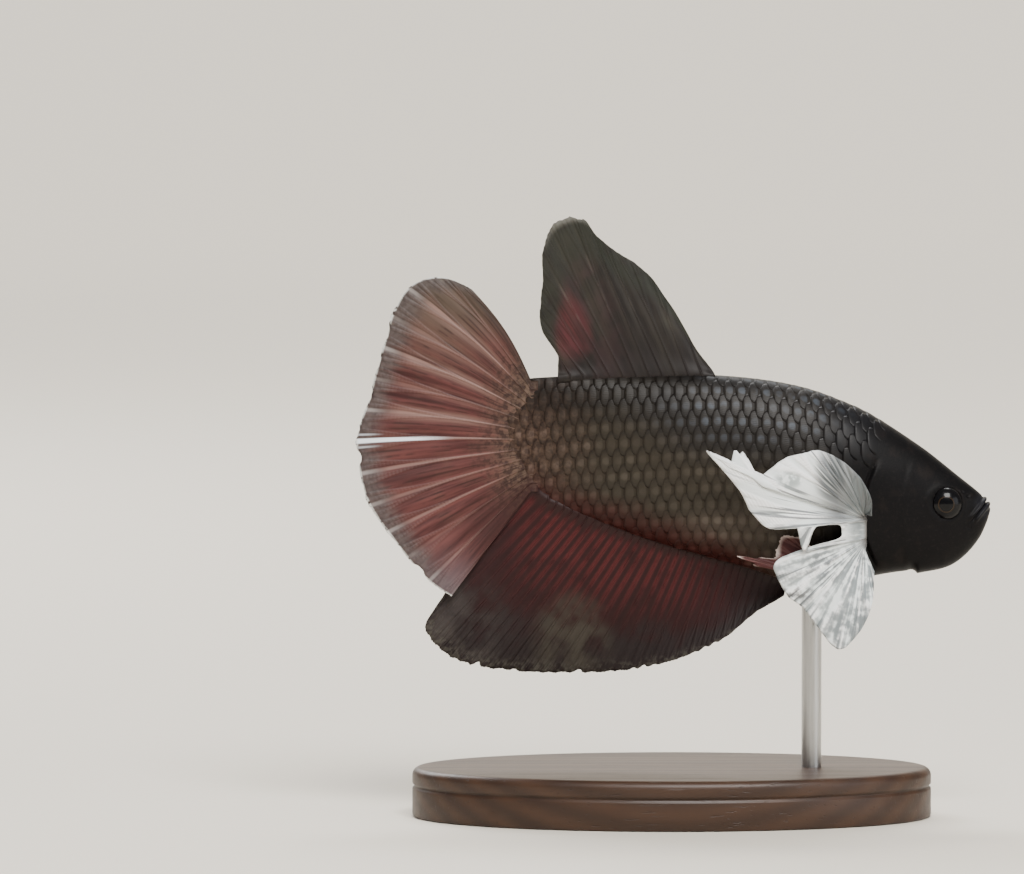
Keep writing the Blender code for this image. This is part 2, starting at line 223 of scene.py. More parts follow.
# Rings lie close together at the mouth and at the gill openings: from one share to another, how many.
RING_STEPS = ((0.0, 0.045, 40), (0.045, 0.12, 30), (0.12, 0.25, 26), (0.25, 0.31, 28), (0.31, 1.0, 60))
ring_shares = np.concatenate(
    [np.linspace(low, high, count, endpoint=False) for low, high, count in RING_STEPS]
    + [np.linspace(1.0, BODY_END, 12)]
)
RING_POINTS = 144
CAP_BAND = 0.002  # width on the unwrap of the cap at either end
ring_turns = 2 * np.pi * (np.arange(RING_POINTS) + 0.5) / RING_POINTS
outline = body_surface(ring_shares[:, None], ring_turns[None, :])
body_grid = outline + outward_normals(outline) * skin_level(ring_shares[:, None], outline)[..., None]

# The whole skin is gathered here: points, faces, their place on the unwrap, finish, and for the fins
# the ray, the share along it and how pale it is.
skin = {name: [] for name in ("points", "faces", "unwrap", "finish", "ray", "reach", "shade")}
FINISHES = ("body", "dorsal_fin", "anal_fin", "caudal_fin", "pectoral_fin", "ventral_fin")


def chart(column, row, wide=1.0, tall=1.0):
    """A share of the unwrap, in quarters of its side, as lowest corner and size."""
    margin = 0.006
    low = np.array((column, row)) / 4 + margin
    return low, np.array((wide, tall)) / 4 - 2 * margin


def grid_cells(grid, axis):
    """The corners of each cell of a grid, in order round it."""
    return np.stack([grid[:-1, :-1], grid[:-1, 1:], grid[1:, 1:], grid[1:, :-1]], axis)


def grid_quads(numbers):
    """The quads of a grid of point numbers."""
    return grid_cells(numbers, -1).reshape(-1, 4)


def add_quads(numbers, spots, finish, turned=False):
    """Adds the quads of a grid of point numbers. spots is each point's place on the unwrap."""
    quads = grid_quads(numbers)
    corners = grid_cells(spots, -2).reshape(-1, 4, 2)
    if turned:
        quads = quads[:, ::-1]
        corners = corners[:, ::-1]
    skin["faces"].append(quads)
    skin["unwrap"].append(corners)
    skin["finish"].append(np.full(len(quads), FINISHES.index(finish)))


def add_points(grid, ray=0.0, reach=0.0, shade=0.0):
    """Adds a grid of points in millimetres and returns the grid of their numbers."""
    numbers = sum(map(len, skin["points"])) + np.arange(grid.size // 3).reshape(grid.shape[:2])
    skin["points"].append(grid.reshape(-1, 3))
    for name, values in (("ray", ray), ("reach", reach), ("shade", shade)):
        skin[name].append(np.broadcast_to(values, grid.shape[:2]).reshape(-1))
    return numbers


def spread(rows, columns, place):
    """Evenly spaced places on a chart for a grid of points."""
    low, size = place
    across, up = np.meshgrid(np.linspace(0, 1, columns), np.linspace(0, 1, rows))
    return low + size * np.stack([across, up], -1)


body_numbers = add_points(body_grid)
closed_rings = np.concatenate([body_numbers, body_numbers[:, :1]], 1)
body_spots = spread(len(ring_shares), RING_POINTS + 1, chart(0, 0, 2, 2))
add_quads(closed_rings, body_spots, "body")
for end, order in ((0, -1), (-1, 1)):
    middle = add_points(body_grid[end].mean(axis=0)[None, None, :])[0, 0]
    hub = np.full((1, RING_POINTS + 1), middle)
    hub_spots = body_spots[end][None] + np.array((0, CAP_BAND * order))
    pair = (closed_rings[end][None], hub)[::order]
    spots = (body_spots[end][None], hub_spots)[::order]
    add_quads(np.concatenate(pair), np.concatenate(spots), "body")

# Skin colours. Black head, olive-grey trunk that turns red-brown at the tail and over the anal fin,
# and a blue-grey shine along the upper back, with painted light: a lighter patch low on the flank
# under the pectoral fin. The skin and the scales over it carry the same markings and painted light.


def tint(red, green, blue):
    """A display colour, 0 to 255 a channel, as the linear colour that a shader takes."""
    shares = [c / 255 for c in (red, green, blue)]
    return [c / 12.92 if c <= 0.04045 else ((c + 0.055) / 1.055) ** 2.4 for c in shares] + [1.0]


def new_finish(name, roughness, **sockets):
    """A material with one principled shader, and its node tree and shader."""
    material = bpy.data.materials.new(name)
    material.use_nodes = True
    shader = material.node_tree.nodes["Principled BSDF"]
    shader.inputs["Roughness"].default_value = roughness
    for socket, value in sockets.items():
        shader.inputs[socket.replace("_", " ")].default_value = value
    return material, material.node_tree, shader


class Level:
    """A number, colour or place that varies over a surface. Levels add and multiply as numbers do."""

    def __init__(self, socket):
        self.socket = socket

    def __add__(self, other):
        return calc("ADD", self, other)

    def __sub__(self, other):
        return calc("SUBTRACT", self, other)

    def __rsub__(self, other):
        return calc("SUBTRACT", other, self)

    def __mul__(self, other):
        return calc("MULTIPLY", self, other)

    def __truediv__(self, other):
        return calc("DIVIDE", self, other)

    def __abs__(self):
        return calc("ABSOLUTE", self)


# From here on, tree and shader are those of the finish in hand, and these functions add to them.


def feed(value, socket):
    """Links a level to a socket, or sets the socket to a plain value."""
    if isinstance(value, Level):
        tree.links.new(value.socket, socket)
    else:
        socket.default_value = value


def node(kind, inputs, output=0, **settings):
    """A level made by a shader node of that kind, its inputs and settings given by name."""
    made = tree.nodes.new("ShaderNode" + kind)
    for name, value in settings.items():
        setattr(made, name, value)
    for name, value in inputs.items():
        feed(value, made.inputs[name])
    return Level(made.outputs[output])


def calc(operation, first, second=0.0):
    """The sum, product or other function of levels and numbers."""
    return node("Math", {0: first, 1: second}, operation=operation)


def fade(value, low, high):
    """0 at low and 1 at high, with soft ends. low may be the greater."""
    falls = low > high
    places = {"From Min": min(low, high), "From Max": max(low, high)}
    levels = {"To Min": float(falls), "To Max": float(not falls)}
    return node("MapRange", {"Value": value, **places, **levels}, interpolation_type="SMOOTHSTEP")


def blend(amount, first, second):
    """A colour between two, each a level or a display colour."""
    ends = [tint(*colour) if isinstance(colour, tuple) else colour for colour in (first, second)]
    return node("Mix", {"Factor": amount, "A": ends[0], "B": ends[1]}, "Result", data_type="RGBA")


def layered(colour, *coats):
    """Lays coats over a colour in turn. Each coat says how much there is of it, and its colour."""
    for amount, coat in coats:
        colour = blend(amount, colour, coat)
    return colour


def measured(name):
    """A measure that the mesh carries at its points."""
    return node("Attribute", {}, "Fac", attribute_name=name)


def position():
    """Vector, X and Z of the place on the fish, in millimetres."""
    metres = node("TexCoord", {}, "Object")
    where = node("VectorMath", {0: metres, "Scale": 1000.0}, operation="SCALE")
    return where, node("SeparateXYZ", {0: where}, "X"), node("SeparateXYZ", {0: where}, "Z")


def plane(across, along):
    """A place made of two levels, for a pattern to lie on."""
    return node("CombineXYZ", {"X": across, "Y": along})


def stretched(where, scale, shift=(0.0, 0.0, 0.0)):
    """Places multiplied and moved along each axis."""
    return node("Mapping", {"Vector": where, "Scale": scale, "Location": shift})


def noise(where, size, detail=2.0):
    """Cloudy values from 0 to 1, with features about size millimetres across."""
    return node("TexNoise", {"Vector": where, "Scale": 1 / size, "Detail": detail}, "Fac")


def spot(x, z, middle, radii, soft=0.9):
    """1 inside an oval patch on the side of the fish, 0 outside."""
    from_x = (x - middle[0]) / radii[0]
    from_z = (z - middle[1]) / radii[1]
    return fade(from_x * from_x + from_z * from_z, 1 + soft, 1 - soft)


def bump(relief, depth):
    """Raises the surface by a pattern, depth millimetres from its lowest to its highest value."""
    raised = node("Bump", {"Height": relief, "Distance": depth / 1000, "Strength": 1.0})
    feed(raised, shader.inputs["Normal"])


def paint(colour, rough):
    """Gives the finish in hand its colour and roughness."""
    feed(colour, shader.inputs["Base Color"])
    feed(rough, shader.inputs["Roughness"])


HEAD_BLACK = (11, 10, 11)
HEAD_BROWN = (21, 17, 16)
LIP_GREY = (36, 36, 41)
BACK_BLACK = (14, 12, 11)
SHOULDER_GREY = (25, 25, 28)
TRUNK_OLIVE = (46, 41, 34)
TAIL_BROWN = (48, 36, 31)
TAIL_TAN = (73, 57, 48)
FLUSH_RED = (50, 20, 18)
BELLY_BROWN = (66, 58, 50)
PAINTED_LIGHT_GREY = (86, 76, 68)
SHINE_BLUE = (66, 72, 80)


def markings_and_painted_light():
    """The colour of the body at a place, painted light under the pectoral fin included, how much shine
    there is, and how far it is up the back.
    """
    where, x, z = position()
    cloud = noise(where, 2.2, 3.0)
    moved_x = x + (cloud - 0.5) * 5.0
    # Painted light: a lighter patch low on the flank lifts the shade that the pectoral fin casts there.
    flank = spot(x, z, (6.0, 28.0), (7.0, 2.8)) * 0.4
    grit = fade(noise(where, 0.45, 3.0), 0.36, 0.66)
    tail = blend(grit, TAIL_BROWN, TAIL_TAN)
    fin_line = (11.3 - x) * 0.327 + 22.8  # height of the anal fin's base
    over_fin = z - fin_line + (cloud - 0.5) * 2.5
    flush = fade(over_fin, 4.8, 0.8) * fade(x, 13.0, 6.0)
    head_colour = blend(fade(noise(where, 1.6), 0.5, 0.75), HEAD_BLACK, HEAD_BROWN)
    lips = spot(x, z, (31.6, 31.4), (1.3, 1.5), 0.8)
    rear_back = fade(z, 38.0, 42.5) * fade(x, 4.0, -1.0) * fade(moved_x, -18.5, -13.0) * 0.8
    back = calc("MAXIMUM", fade(z, 42.3, 44.3), rear_back)
    shoulder = spot(x, z, (9.0, 40.2), (11.0, 4.4))
    colour = layered(
        blend(fade(z, 29.0, 24.5), TRUNK_OLIVE, BELLY_BROWN),
        (flank, PAINTED_LIGHT_GREY),
        (fade(moved_x, -5.5, -16.0), tail),
        (flush * 0.95, FLUSH_RED),
        (fade(moved_x, 12.5, 18.0), head_colour),
        (lips * 0.5, LIP_GREY),
        (back * 0.85, BACK_BLACK),
        (shoulder * 0.6, SHOULDER_GREY),
    )
    shine = spot(x, z, (9.0, 41.2), (9.5, 3.3), 0.8) * fade(noise(where, 1.3), 0.3, 0.6)
    return colour, shine, back, where


body_finish, tree, shader = new_finish("betta_body", 0.42, Specular_IOR_Level=0.1)
body_colour, _, _, where = markings_and_painted_light()
pits = noise(where, 0.14, 3.0)
freckles = fade(noise(where, 0.3), 0.55, 0.7)
bump(pits, 0.016)
paint(blend(freckles * 0.35, body_colour, (27, 23, 23)), pits * 0.25 + 0.34)

# ---------------------------------------------------------------------------------------------------
# Dorsal fin. A fan of bony rays with a thin web between them, tall and swept back, growing out of a
# fleshy root. The rays fork twice towards the edge, and the web falls back a little between their tips.

WEB_HALF_THICKNESS = 0.055
ROOT_DEPTH = 0.7  # how far the sheet starts inside the body
FIRST_FORK, SECOND_FORK = 0.38, 0.68
# In gaps between rays: how far the branches spread at the edge, and how wide a ridge each makes.
FIRST_SPREAD, SECOND_SPREAD, RIDGE_WIDTH = 0.25, 0.11, 0.08
WEB_FALL, TORN_SHARE, TORN_FALL = (0.2, 1.3), 0.14, 2.4  # how far webs fall back, and torn ones
ROOT_INSET = 0.1  # how far inside the outline the bases of the upright fins lie
edge_wear = np.random.default_rng(11)


def ray_ridge(ray, reach):
    """1 along the middle of a ray or of its branches, 0 in the web."""
    off = np.abs(ray - np.round(ray))
    off = np.abs(off - FIRST_SPREAD * ramp(reach, FIRST_FORK, 1.0))
    off = np.abs(off - SECOND_SPREAD * ramp(reach, SECOND_FORK, 1.05))
    return bell(off, 0, RIDGE_WIDTH)


def add_fin(finish, rays, root, tip, sway, charts, rows, per_ray, root_half, ragged,
            bow=0.0, pleat=0.05, root_taper=0.12, ridge=0.05, inward=(0, 0, -1.0), pale=None, bend=None):
    """Adds one fin to the skin. root(u) is where the ray at share u of the base starts, tip(u) its
    vector to the edge, sway(u, v) how far the sheet stands to one side at share v of the ray, and
    bend(u, v) how far it is lifted there. charts are the places of its two faces on the unwrap."""
    columns = (rays - 1) * per_ray + 1
    u = np.linspace(0, 1, columns)[None, :]
    ray = u * (rays - 1)
    v = np.linspace(0, 1, rows)[:, None] ** 0.9
    start, vector = root(u[0]), tip(u[0])

    # The web falls back between the rays, unevenly, and a few webs are torn.
    webs = edge_wear.uniform(*WEB_FALL, rays)
    webs[edge_wear.uniform(0, 1, rays) < TORN_SHARE] = TORN_FALL
    fall = np.interp(ray[0], np.arange(rays) + 0.5, webs)
    wear = np.interp(ray[0] * 4, np.arange(rays * 4), edge_wear.uniform(0, 1, rays * 4))
    edge = 1 - ragged * (
        fall * (0.5 - 0.5 * np.cos(2 * np.pi * ray[0]))
        + 0.3 * (0.5 - 0.5 * np.cos(8 * np.pi * ray[0]))
        + 0.7 * wear
    )
    reach = v * edge[None, :]

    sheet = start[None] + vector[None] * reach[..., None]
    level = unit(np.stack([-vector[:, 2], np.zeros(columns), vector[:, 0]], -1))
    sheet = sheet - level[None] * (bow * (1 - u) * np.sin(np.pi * reach))[..., None]
    if bend is not None:
        sheet[..., 2] += bend(u, reach)
    drift = curve(list(zip(np.linspace(0, 1, 13), edge_wear.normal(0, 0.12, 13))), u)
    sheet[..., 1] += sway(u, reach) + drift * reach**2
    sheet[..., 1] += pleat * ramp(reach, 0.05, 0.7) * np.cos(2 * np.pi * ray)
    buried = (start + np.array(inward) * ROOT_DEPTH)[None]
    sheet = np.concatenate([buried, sheet])
    reach = np.concatenate([np.zeros((1, columns)), reach])
    ray = np.broadcast_to(ray, reach.shape)

    half = WEB_HALF_THICKNESS + (root_half - WEB_HALF_THICKNESS) * np.exp(-((reach / root_taper) ** 1.5))
    half = half + ridge * (1 - 0.7 * reach) * ray_ridge(ray, reach)
    half = half * (1 - 0.55 * ramp(reach / edge[None], 0.93, 1.0))
    run = np.gradient(sheet, axis=0)
    across = np.gradient(sheet, axis=1)
    normal = unit(np.cross(run, across))
    normal *= np.sign(normal[..., 1:2] + 1e-12)
    shade = np.array(pale or [0.0] * rays)[np.round(ray).astype(int)]
    low_numbers = add_points(sheet - normal * half[..., None], ray, reach, shade)
    high_numbers = add_points(sheet + normal * half[..., None], ray, reach, shade)
    low_spots = spread(rows + 1, columns, charts[0])
    high_spots = spread(rows + 1, columns, charts[1])
    facing = np.cross(run, across)[..., 1].mean() > 0
    add_quads(low_numbers, low_spots, finish, turned=not facing)
    add_quads(high_numbers, high_spots, finish, turned=facing)

    # Walls round the rim, each on a sliver of the unwrap.
    sliver = np.array((0, 0.004))
    for low_edge, high_edge, spots in (
        (low_numbers[-1:], high_numbers[-1:], low_spots[-1:]),
        (high_numbers[:1], low_numbers[:1], low_spots[:1]),
    ):
        pair = np.concatenate([low_edge, high_edge])
        add_quads(pair, np.concatenate([spots, spots + sliver]), finish, turned=not facing)
    sliver = np.array((0.004, 0))
    for side in (0, -1):
        pair = np.stack([low_numbers[:, side], high_numbers[:, side]])
        spots = low_spots[:, side][None]
        turned = facing if side == 0 else not facing
        add_quads(pair, np.concatenate([spots, spots + sliver]), finish, turned=turned)


def ray_vectors(table, u, up=1.0):
    """Vectors of rays: table rows are (share of the base, angle in degrees, length)."""
    angle = np.radians(curve(table, u))
    length = curve(table, u, 2)
    return np.stack([-length * np.cos(angle), np.zeros_like(u), up * length * np.sin(angle)], -1)


def ray_lines(width):
    """Mask of the rays and their branches, distance from the nearest ray, its number, and the place."""
    ray, reach = measured("ray"), measured("reach")
    single = abs(ray - calc("ROUND", ray))
    off = abs(single - fade(reach, FIRST_FORK, 1.0) * FIRST_SPREAD)
    off = abs(off - fade(reach, SECOND_FORK, 1.05) * SECOND_SPREAD)
    return fade(off, width, width * 0.15), single, ray, reach


def fin_streaks(ray, reach, fine, long):
    """Fine streaks that run along the rays."""
    return noise(plane(ray * fine, reach * long), 1.0, 2.5)


def finish_fin(colour, lines, reach, streaks, depth=0.05, joints=45.0):
    """Paints a fin, with relief from its rays, their joints and the streaks."""
    beads = calc("SINE", reach * (joints * 2 * math.pi)) * 0.12 + 0.88
    bump(lines * beads + streaks, depth)
    paint(colour, streaks * 0.25 + 0.38)


DORSAL_START, DORSAL_END = 0.6, 0.942
DORSAL_RAYS = (
    (0.0, 53, 1.7), (0.06, 65.4, 4.7), (0.12, 68.5, 8.2), (0.2, 69, 11.3), (0.28, 66, 13.5),
    (0.36, 66.2, 15.2), (0.43, 67.9, 16.9), (0.5, 67.2, 17.35), (0.57, 63.9, 16.8), (0.65, 61.4, 14.6),
    (0.74, 57.3, 10.6), (0.82, 53.7, 7.9), (0.89, 53.6, 5.3), (0.95, 70.8, 2.9), (1.0, 93.8, 2.0),
)


def dorsal_root(u):
    share = DORSAL_START + (DORSAL_END - DORSAL_START) * u
    return np.stack([body_x(share), 0 * u, height(BACK_LINE, share) - ROOT_INSET], -1)


add_fin(
    "dorsal_fin", 13, dorsal_root, lambda u: ray_vectors(DORSAL_RAYS, u),
    lambda u, v: 0.9 * v * v * np.sin(2 * np.pi * (0.9 * u + 0.15)),
    (chart(0, 2), chart(1, 2)), rows=38, per_ray=11, root_half=0.42, ragged=0.016,
    pale=(0.1, 0.1, 0.25, 0.1, 0.3, 0.15, 0.6, 0.2, 0.9, 0.35, 0.2, 0.1, 0.1),
)

# Dark olive-grey, darker at the base, with a red patch low on its rear half and a pale tip.
dorsal_finish, tree, shader = new_finish("betta_dorsal_fin", 0.5, Specular_IOR_Level=0.2)
lines, single, ray, reach = ray_lines(0.1)
where, x, z = position()
streaks = fin_streaks(ray, reach, 1.6, 1.6)
folds = fin_streaks(ray, reach, 0.5, 1.4)
cloud = noise(where, 2.4, 4.0)
red = spot(ray, reach, (8.9, 0.47), (1.4, 0.21), 0.95) * fade(streaks, 0.2, 0.6)
purple = spot(ray, reach, (8.6, 0.5), (3.0, 0.5)) * fade(cloud, 0.35, 0.6)
pale_line = fade(single, 0.1, 0.02) * measured("shade") * fade(reach, 0.25, 0.6) * fade(cloud, 0.4, 0.6)
dark_line = fade(abs(single - 0.42), 0.09, 0.0) * fade(cloud, 0.6, 0.4) * 0.5
near_tip = fade(abs(ray - 6.2), 1.8, 0.4)
upper = fade(reach, 0.62, 0.82) * fade(cloud, 0.3, 0.5) * 0.7
tip_pale = fade(reach, 0.94, 0.995) * fade(streaks, 0.45, 0.55) * near_tip * 0.6
colour = layered(
    blend(fade(streaks, 0.25, 0.75), (27, 23, 22), (41, 37, 33)),
    (fade(folds, 0.48, 0.66) * 0.5, (55, 52, 44)),
    (fade(folds, 0.44, 0.34) * 0.6, (21, 17, 18)),
    (fade(reach, 0.5, 0.05) * 0.75, (25, 19, 18)),
    (red * 0.75, (80, 32, 37)),
    (purple * 0.25, (62, 36, 40)),
    (pale_line * 0.4, (98, 88, 82)),
    (dark_line, (15, 13, 12)),
    (upper, (38, 40, 33)),
    (tip_pale, (120, 118, 110)),
)
finish_fin(colour, lines, reach, streaks)

# ---------------------------------------------------------------------------------------------------
# Anal fin. The long fin under the trunk, from behind the belly to the tail stalk: many fine rays in a
# dark red web, nearly black along the edge, with a smoky patch.

ANAL_START, ANAL_END = 0.442, 0.995
ANAL_RAYS = (
    (0.0, 75.8, 1.5), (0.08, 73.1, 3.9), (0.16, 73.1, 7.2), (0.25, 72.8, 9.5), (0.34, 68.2, 11.9),
    (0.45, 65.8, 13.7), (0.56, 58.7, 15.9), (0.66, 55.6, 17.4), (0.75, 52.4, 18.6), (0.83, 50.6, 19.1),
    (0.9, 48.4, 18.6), (0.95, 46.3, 17.5), (0.97, 48.0, 15.4), (0.985, 49.5, 13.6), (1.0, 48.6, 11.4),
)


def anal_root(u):
    share = ANAL_START + (ANAL_END - ANAL_START) * u
    tucked = ramp(u, 0.93, 1.0)  # the last rays start behind the lowest ones of the caudal fin
    z = height(BELLY_LINE, share) + ROOT_INSET + 0.8 * tucked
    return np.stack([body_x(share) - 0.5 * tucked, 0 * u, z], -1)


add_fin(
    "anal_fin", 34, anal_root, lambda u: ray_vectors(ANAL_RAYS, u, up=-1.0),
    lambda u, v: -1.1 * v * v * np.sin(2 * np.pi * (1.15 * u + 0.1)) + 0.5 * v * ramp(u, 0.9, 1.0),
    (chart(2, 1), chart(3, 1)), rows=36, per_ray=8, pleat=0.03, root_half=0.26, ragged=0.011,
    ridge=0.04, inward=(0, 0, 1.0),
)

anal_finish, tree, shader = new_finish("betta_anal_fin", 0.5, Specular_IOR_Level=0.2)
lines, single, ray, reach = ray_lines(0.14)
where, x, z = position()
streaks = fin_streaks(ray, reach, 1.3, 3.0)
cloud = noise(where, 2.6, 4.0)
speckle = noise(where, 0.5, 3.0)
red_rays = fade(single, 0.4, 0.12) * fade(reach, 0.66, 0.25) * fade(reach, 0.0, 0.08)
red_rays = red_rays * fade(x, 8.0, -2.0) * fade(x, -19.0, -12.5) * fade(cloud, 0.25, 0.55)
uneven = reach + (cloud - 0.5) * 0.55
smoke = spot(x, z, (-10.0, 17.6), (3.5, 4.2), 0.95) * fade(cloud, 0.3, 0.6)
rear = fade(x, -14.0, -22.0) * fade(reach, 0.45, 0.85) * fade(cloud, 0.4, 0.65)
edge_grey = fade(reach, 0.86, 1.0) * fade(speckle, 0.42, 0.62)
fleshy_root = fade(reach, 0.08, 0.01) * 0.5
colour = layered(
    blend(streaks, (22, 7, 8), (45, 14, 15)),
    (red_rays * 0.8, (76, 29, 30)),
    (lines * fade(reach, 0.3, 0.6) * 0.25, (54, 29, 27)),
    (fade(uneven, 0.5, 0.85) * 0.9, (31, 25, 25)),
    (smoke * 0.75, (59, 54, 46)),
    (rear * 0.55, (62, 56, 53)),
    (edge_grey * 0.7, (72, 69, 62)),
    (fade(x, 4.0, 11.0) * 0.75, (30, 22, 22)),
    (fleshy_root, blend(speckle, (24, 12, 11), (40, 22, 18))),
)
finish_fin(colour, lines, reach, streaks)

# ---------------------------------------------------------------------------------------------------
# Caudal fin. A rounded fan behind the tail stalk, its lowest rays lying over the anal fin. Red-brown
# with paler rays, one of them bright white, smoky at the top and edged with a thin white rim.

CAUDAL_RAYS = (
    (0.0, 56.8, 11.1), (0.062, 51.6, 14.1), (0.14, 43.2, 16.4), (0.226, 33.2, 16.7), (0.287, 26.6, 16.4),
    (0.43, 10.7, 16.6), (0.527, 0.7, 17.6), (0.625, -9.4, 17.4), (0.68, -15.4, 17.1),
    (0.8, -28.2, 15.5), (0.917, -43.1, 14.3), (1.0, -52.6, 13.2),
)
WHITE_RAY = 7


def caudal_root(u):
    top, bottom = height(BACK_LINE, 1.0), height(BELLY_LINE, 1.0)
    z = top + (bottom - top) * (0.03 + 0.94 * u)
    return np.stack([np.full_like(u, body_x(1.0)), 0 * u, z], -1)


add_fin(
    "caudal_fin", 14, caudal_root, lambda u: ray_vectors(CAUDAL_RAYS, u),
    lambda u, v: 1.2 * v * v * np.sin(2 * np.pi * (0.75 * u + 0.05)) - 0.35 * v * ramp(u, 0.8, 1.0),
    (chart(2, 0), chart(3, 0)), rows=46, per_ray=14, bow=0.6, pleat=0.06, root_half=0.3,
    root_taper=0.24, ragged=0.013, inward=(1.0, 0, 0),
    pale=(0.15, 0.1, 0.75, 0.3, 0.85, 0.25, 0.75, 1.0, 0.8, 0.55, 0.65, 0.2, 0.55, 0.2),
)

caudal_finish, tree, shader = new_finish("betta_caudal_fin", 0.48, Specular_IOR_Level=0.2)
lines, single, ray, reach = ray_lines(0.09)
where, x, z = position()
streaks = fin_streaks(ray, reach, 4.0, 2.0)
cloud = noise(where, 2.4, 3.0)
speckle = noise(where, 0.45, 3.0)
shade = measured("shade")
uneven = reach + (speckle - 0.5) * 0.45
base_tan = fade(uneven, 0.42, 0.05) * 0.9
grit = fade(speckle, 0.36, 0.66)
upper = fade(ray, 5.0, 1.5) * fade(reach, 0.2, 0.8) * 0.85
band = fade(single, 0.42, 0.1) * shade * fade(ray, 6.7, 6.0) * fade(streaks, 0.3, 0.55)
band = band * fade(reach, 0.15, 0.4) * fade(reach, 0.95, 0.75)
thin = fade(single, 0.1, 0.02) * shade * fade(reach, 0.08, 0.3) * fade(reach, 1.0, 0.8)
dark_line = fade(abs(single - 0.4), 0.07, 0.0) * fade(cloud, 0.4, 0.6) * 0.6
margin = fade(reach + streaks * 0.25, 0.94, 1.08) * 0.85
leading = fade(ray, 1.1, 0.1) * fade(reach, 0.97, 0.8) * 0.65
low = fade(ray, 10.5, 13.0) * fade(reach, 0.55, 0.9) * 0.6
low_root = fade(ray, 10.0, 12.4) * fade(reach, 0.8, 0.4) * 0.8
tips = fade(single, 0.1, 0.02) * shade * fade(reach, 0.84, 0.98) * 0.5
from_white = abs(ray - WHITE_RAY)
branch = fade(abs(from_white - 0.2), 0.05, 0.01) * fade(reach, 0.82, 0.96) * 0.4
white = fade(from_white, 0.1, 0.045) * fade(reach, 0.42, 0.7)
rim = fade(reach, 0.976, 0.99) * fade(speckle, 0.36, 0.5)
colour = layered(
    blend(fade(streaks, 0.25, 0.75), (52, 24, 24), (95, 54, 51)),
    (fade(cloud, 0.45, 0.75) * 0.45, (86, 57, 50)),
    (base_tan, blend(grit, TAIL_BROWN, (92, 76, 64))),
    (upper, blend(streaks, (52, 44, 38), (92, 82, 70))),
    (band * 0.8, (120, 95, 87)),
    (thin * 0.85, (136, 108, 101)),
    (lines * 0.2 * fade(reach, 0.3, 0.6), (110, 80, 75)),
    (dark_line, (30, 17, 17)),
    (margin, blend(speckle, (36, 29, 31), (98, 90, 87))),
    (leading, (46, 35, 31)),
    (low, (94, 79, 82)),
    (low_root, (46, 22, 21)),
    (tips, (190, 182, 178)),
    (calc("MAXIMUM", white, branch), (236, 240, 248)),
    (rim * 0.9, (236, 235, 230)),
)
finish_fin(colour, lines, reach, streaks, 0.06)

# ---------------------------------------------------------------------------------------------------
# Pectoral fins. Broad milky-white fans behind the gill covers, fine dark lines between their rays and
# grey clouds towards the front, where the front edge of the upper lobe is painted grey as thin web and
# painted shade. The right one is folded to a forked point.

# Edge of each fin as seen from the side: share of the base, x and z.
PECTORAL_FRONT = ((0.0, 19.8, 30.6), (0.05, 19.7, 32.4), (0.1, 18.7, 34.5))
PECTORAL_LOWER = (
    (0.68, 9.9, 25.4), (0.73, 11.4, 22.6), (0.78, 13.0, 21.4), (0.83, 14.4, 19.4), (0.88, 16.6, 17.2),
    (0.92, 18.4, 18.8), (0.96, 19.8, 21.6), (1.0, 20.1, 25.0),
)
PECTORAL_EDGE = {
    "right": PECTORAL_FRONT + (
        (0.12, 18.0, 35.3), (0.15, 16.7, 36.4), (0.19, 15.3, 37.2), (0.23, 13.7, 37.4), (0.27, 12.1, 37.0),
        (0.305, 10.3, 36.2), (0.33, 8.8, 35.0), (0.345, 7.7, 34.6), (0.357, 6.95, 34.5), (0.37, 6.75, 34.7),
        (0.378, 6.4, 34.4), (0.386, 5.9, 35.1), (0.398, 5.2, 35.7), (0.408, 4.4, 36.4), (0.42, 3.1, 37.4),
        (0.43, 3.5, 36.8), (0.445, 4.5, 35.6), (0.46, 5.5, 34.3), (0.48, 6.6, 32.9), (0.505, 7.8, 31.0),
        (0.526, 9.4, 29.5), (0.542, 11.5, 29.55), (0.551, 12.4, 29.65), (0.56, 13.0, 29.7),
        (0.568, 13.6, 29.78), (0.576, 14.8, 29.88), (0.585, 16.4, 29.85), (0.592, 16.7, 29.6),
        (0.604, 16.75, 29.15), (0.618, 16.7, 28.6), (0.626, 16.0, 28.25), (0.635, 14.4, 27.9),
        (0.647, 12.2, 27.2), (0.66, 10.4, 26.4),
    ) + PECTORAL_LOWER,
    "left": PECTORAL_FRONT + (
        (0.16, 16.4, 36.1), (0.23, 14.1, 36.9), (0.31, 11.2, 36.3), (0.39, 8.6, 34.2), (0.46, 7.2, 31.8),
        (0.52, 8.4, 29.9), (0.56, 12.0, 29.4), (0.586, 16.2, 29.75), (0.6, 17.0, 29.3), (0.618, 17.0, 28.5),
        (0.63, 15.6, 28.0), (0.65, 11.9, 26.9),
    ) + PECTORAL_LOWER,
}
PECTORAL_X, PECTORAL_TOP, PECTORAL_BOTTOM = 19.05, 30.7, 27.4


def flank(share, z):
    """Half breadth of the body at a height."""
    middle = height(WIDEST_LINE, share)
    edge = np.where(z > middle, height(BACK_LINE, share), height(BELLY_LINE, share))
    up = np.clip(np.abs(z - middle) / np.abs(edge - middle), 0, 1)
    return BODY_WIDTH * curve(HALF_BREADTH, share) * (1 - up * up) ** (curve(SECTION_SHAPE, share) / 2)


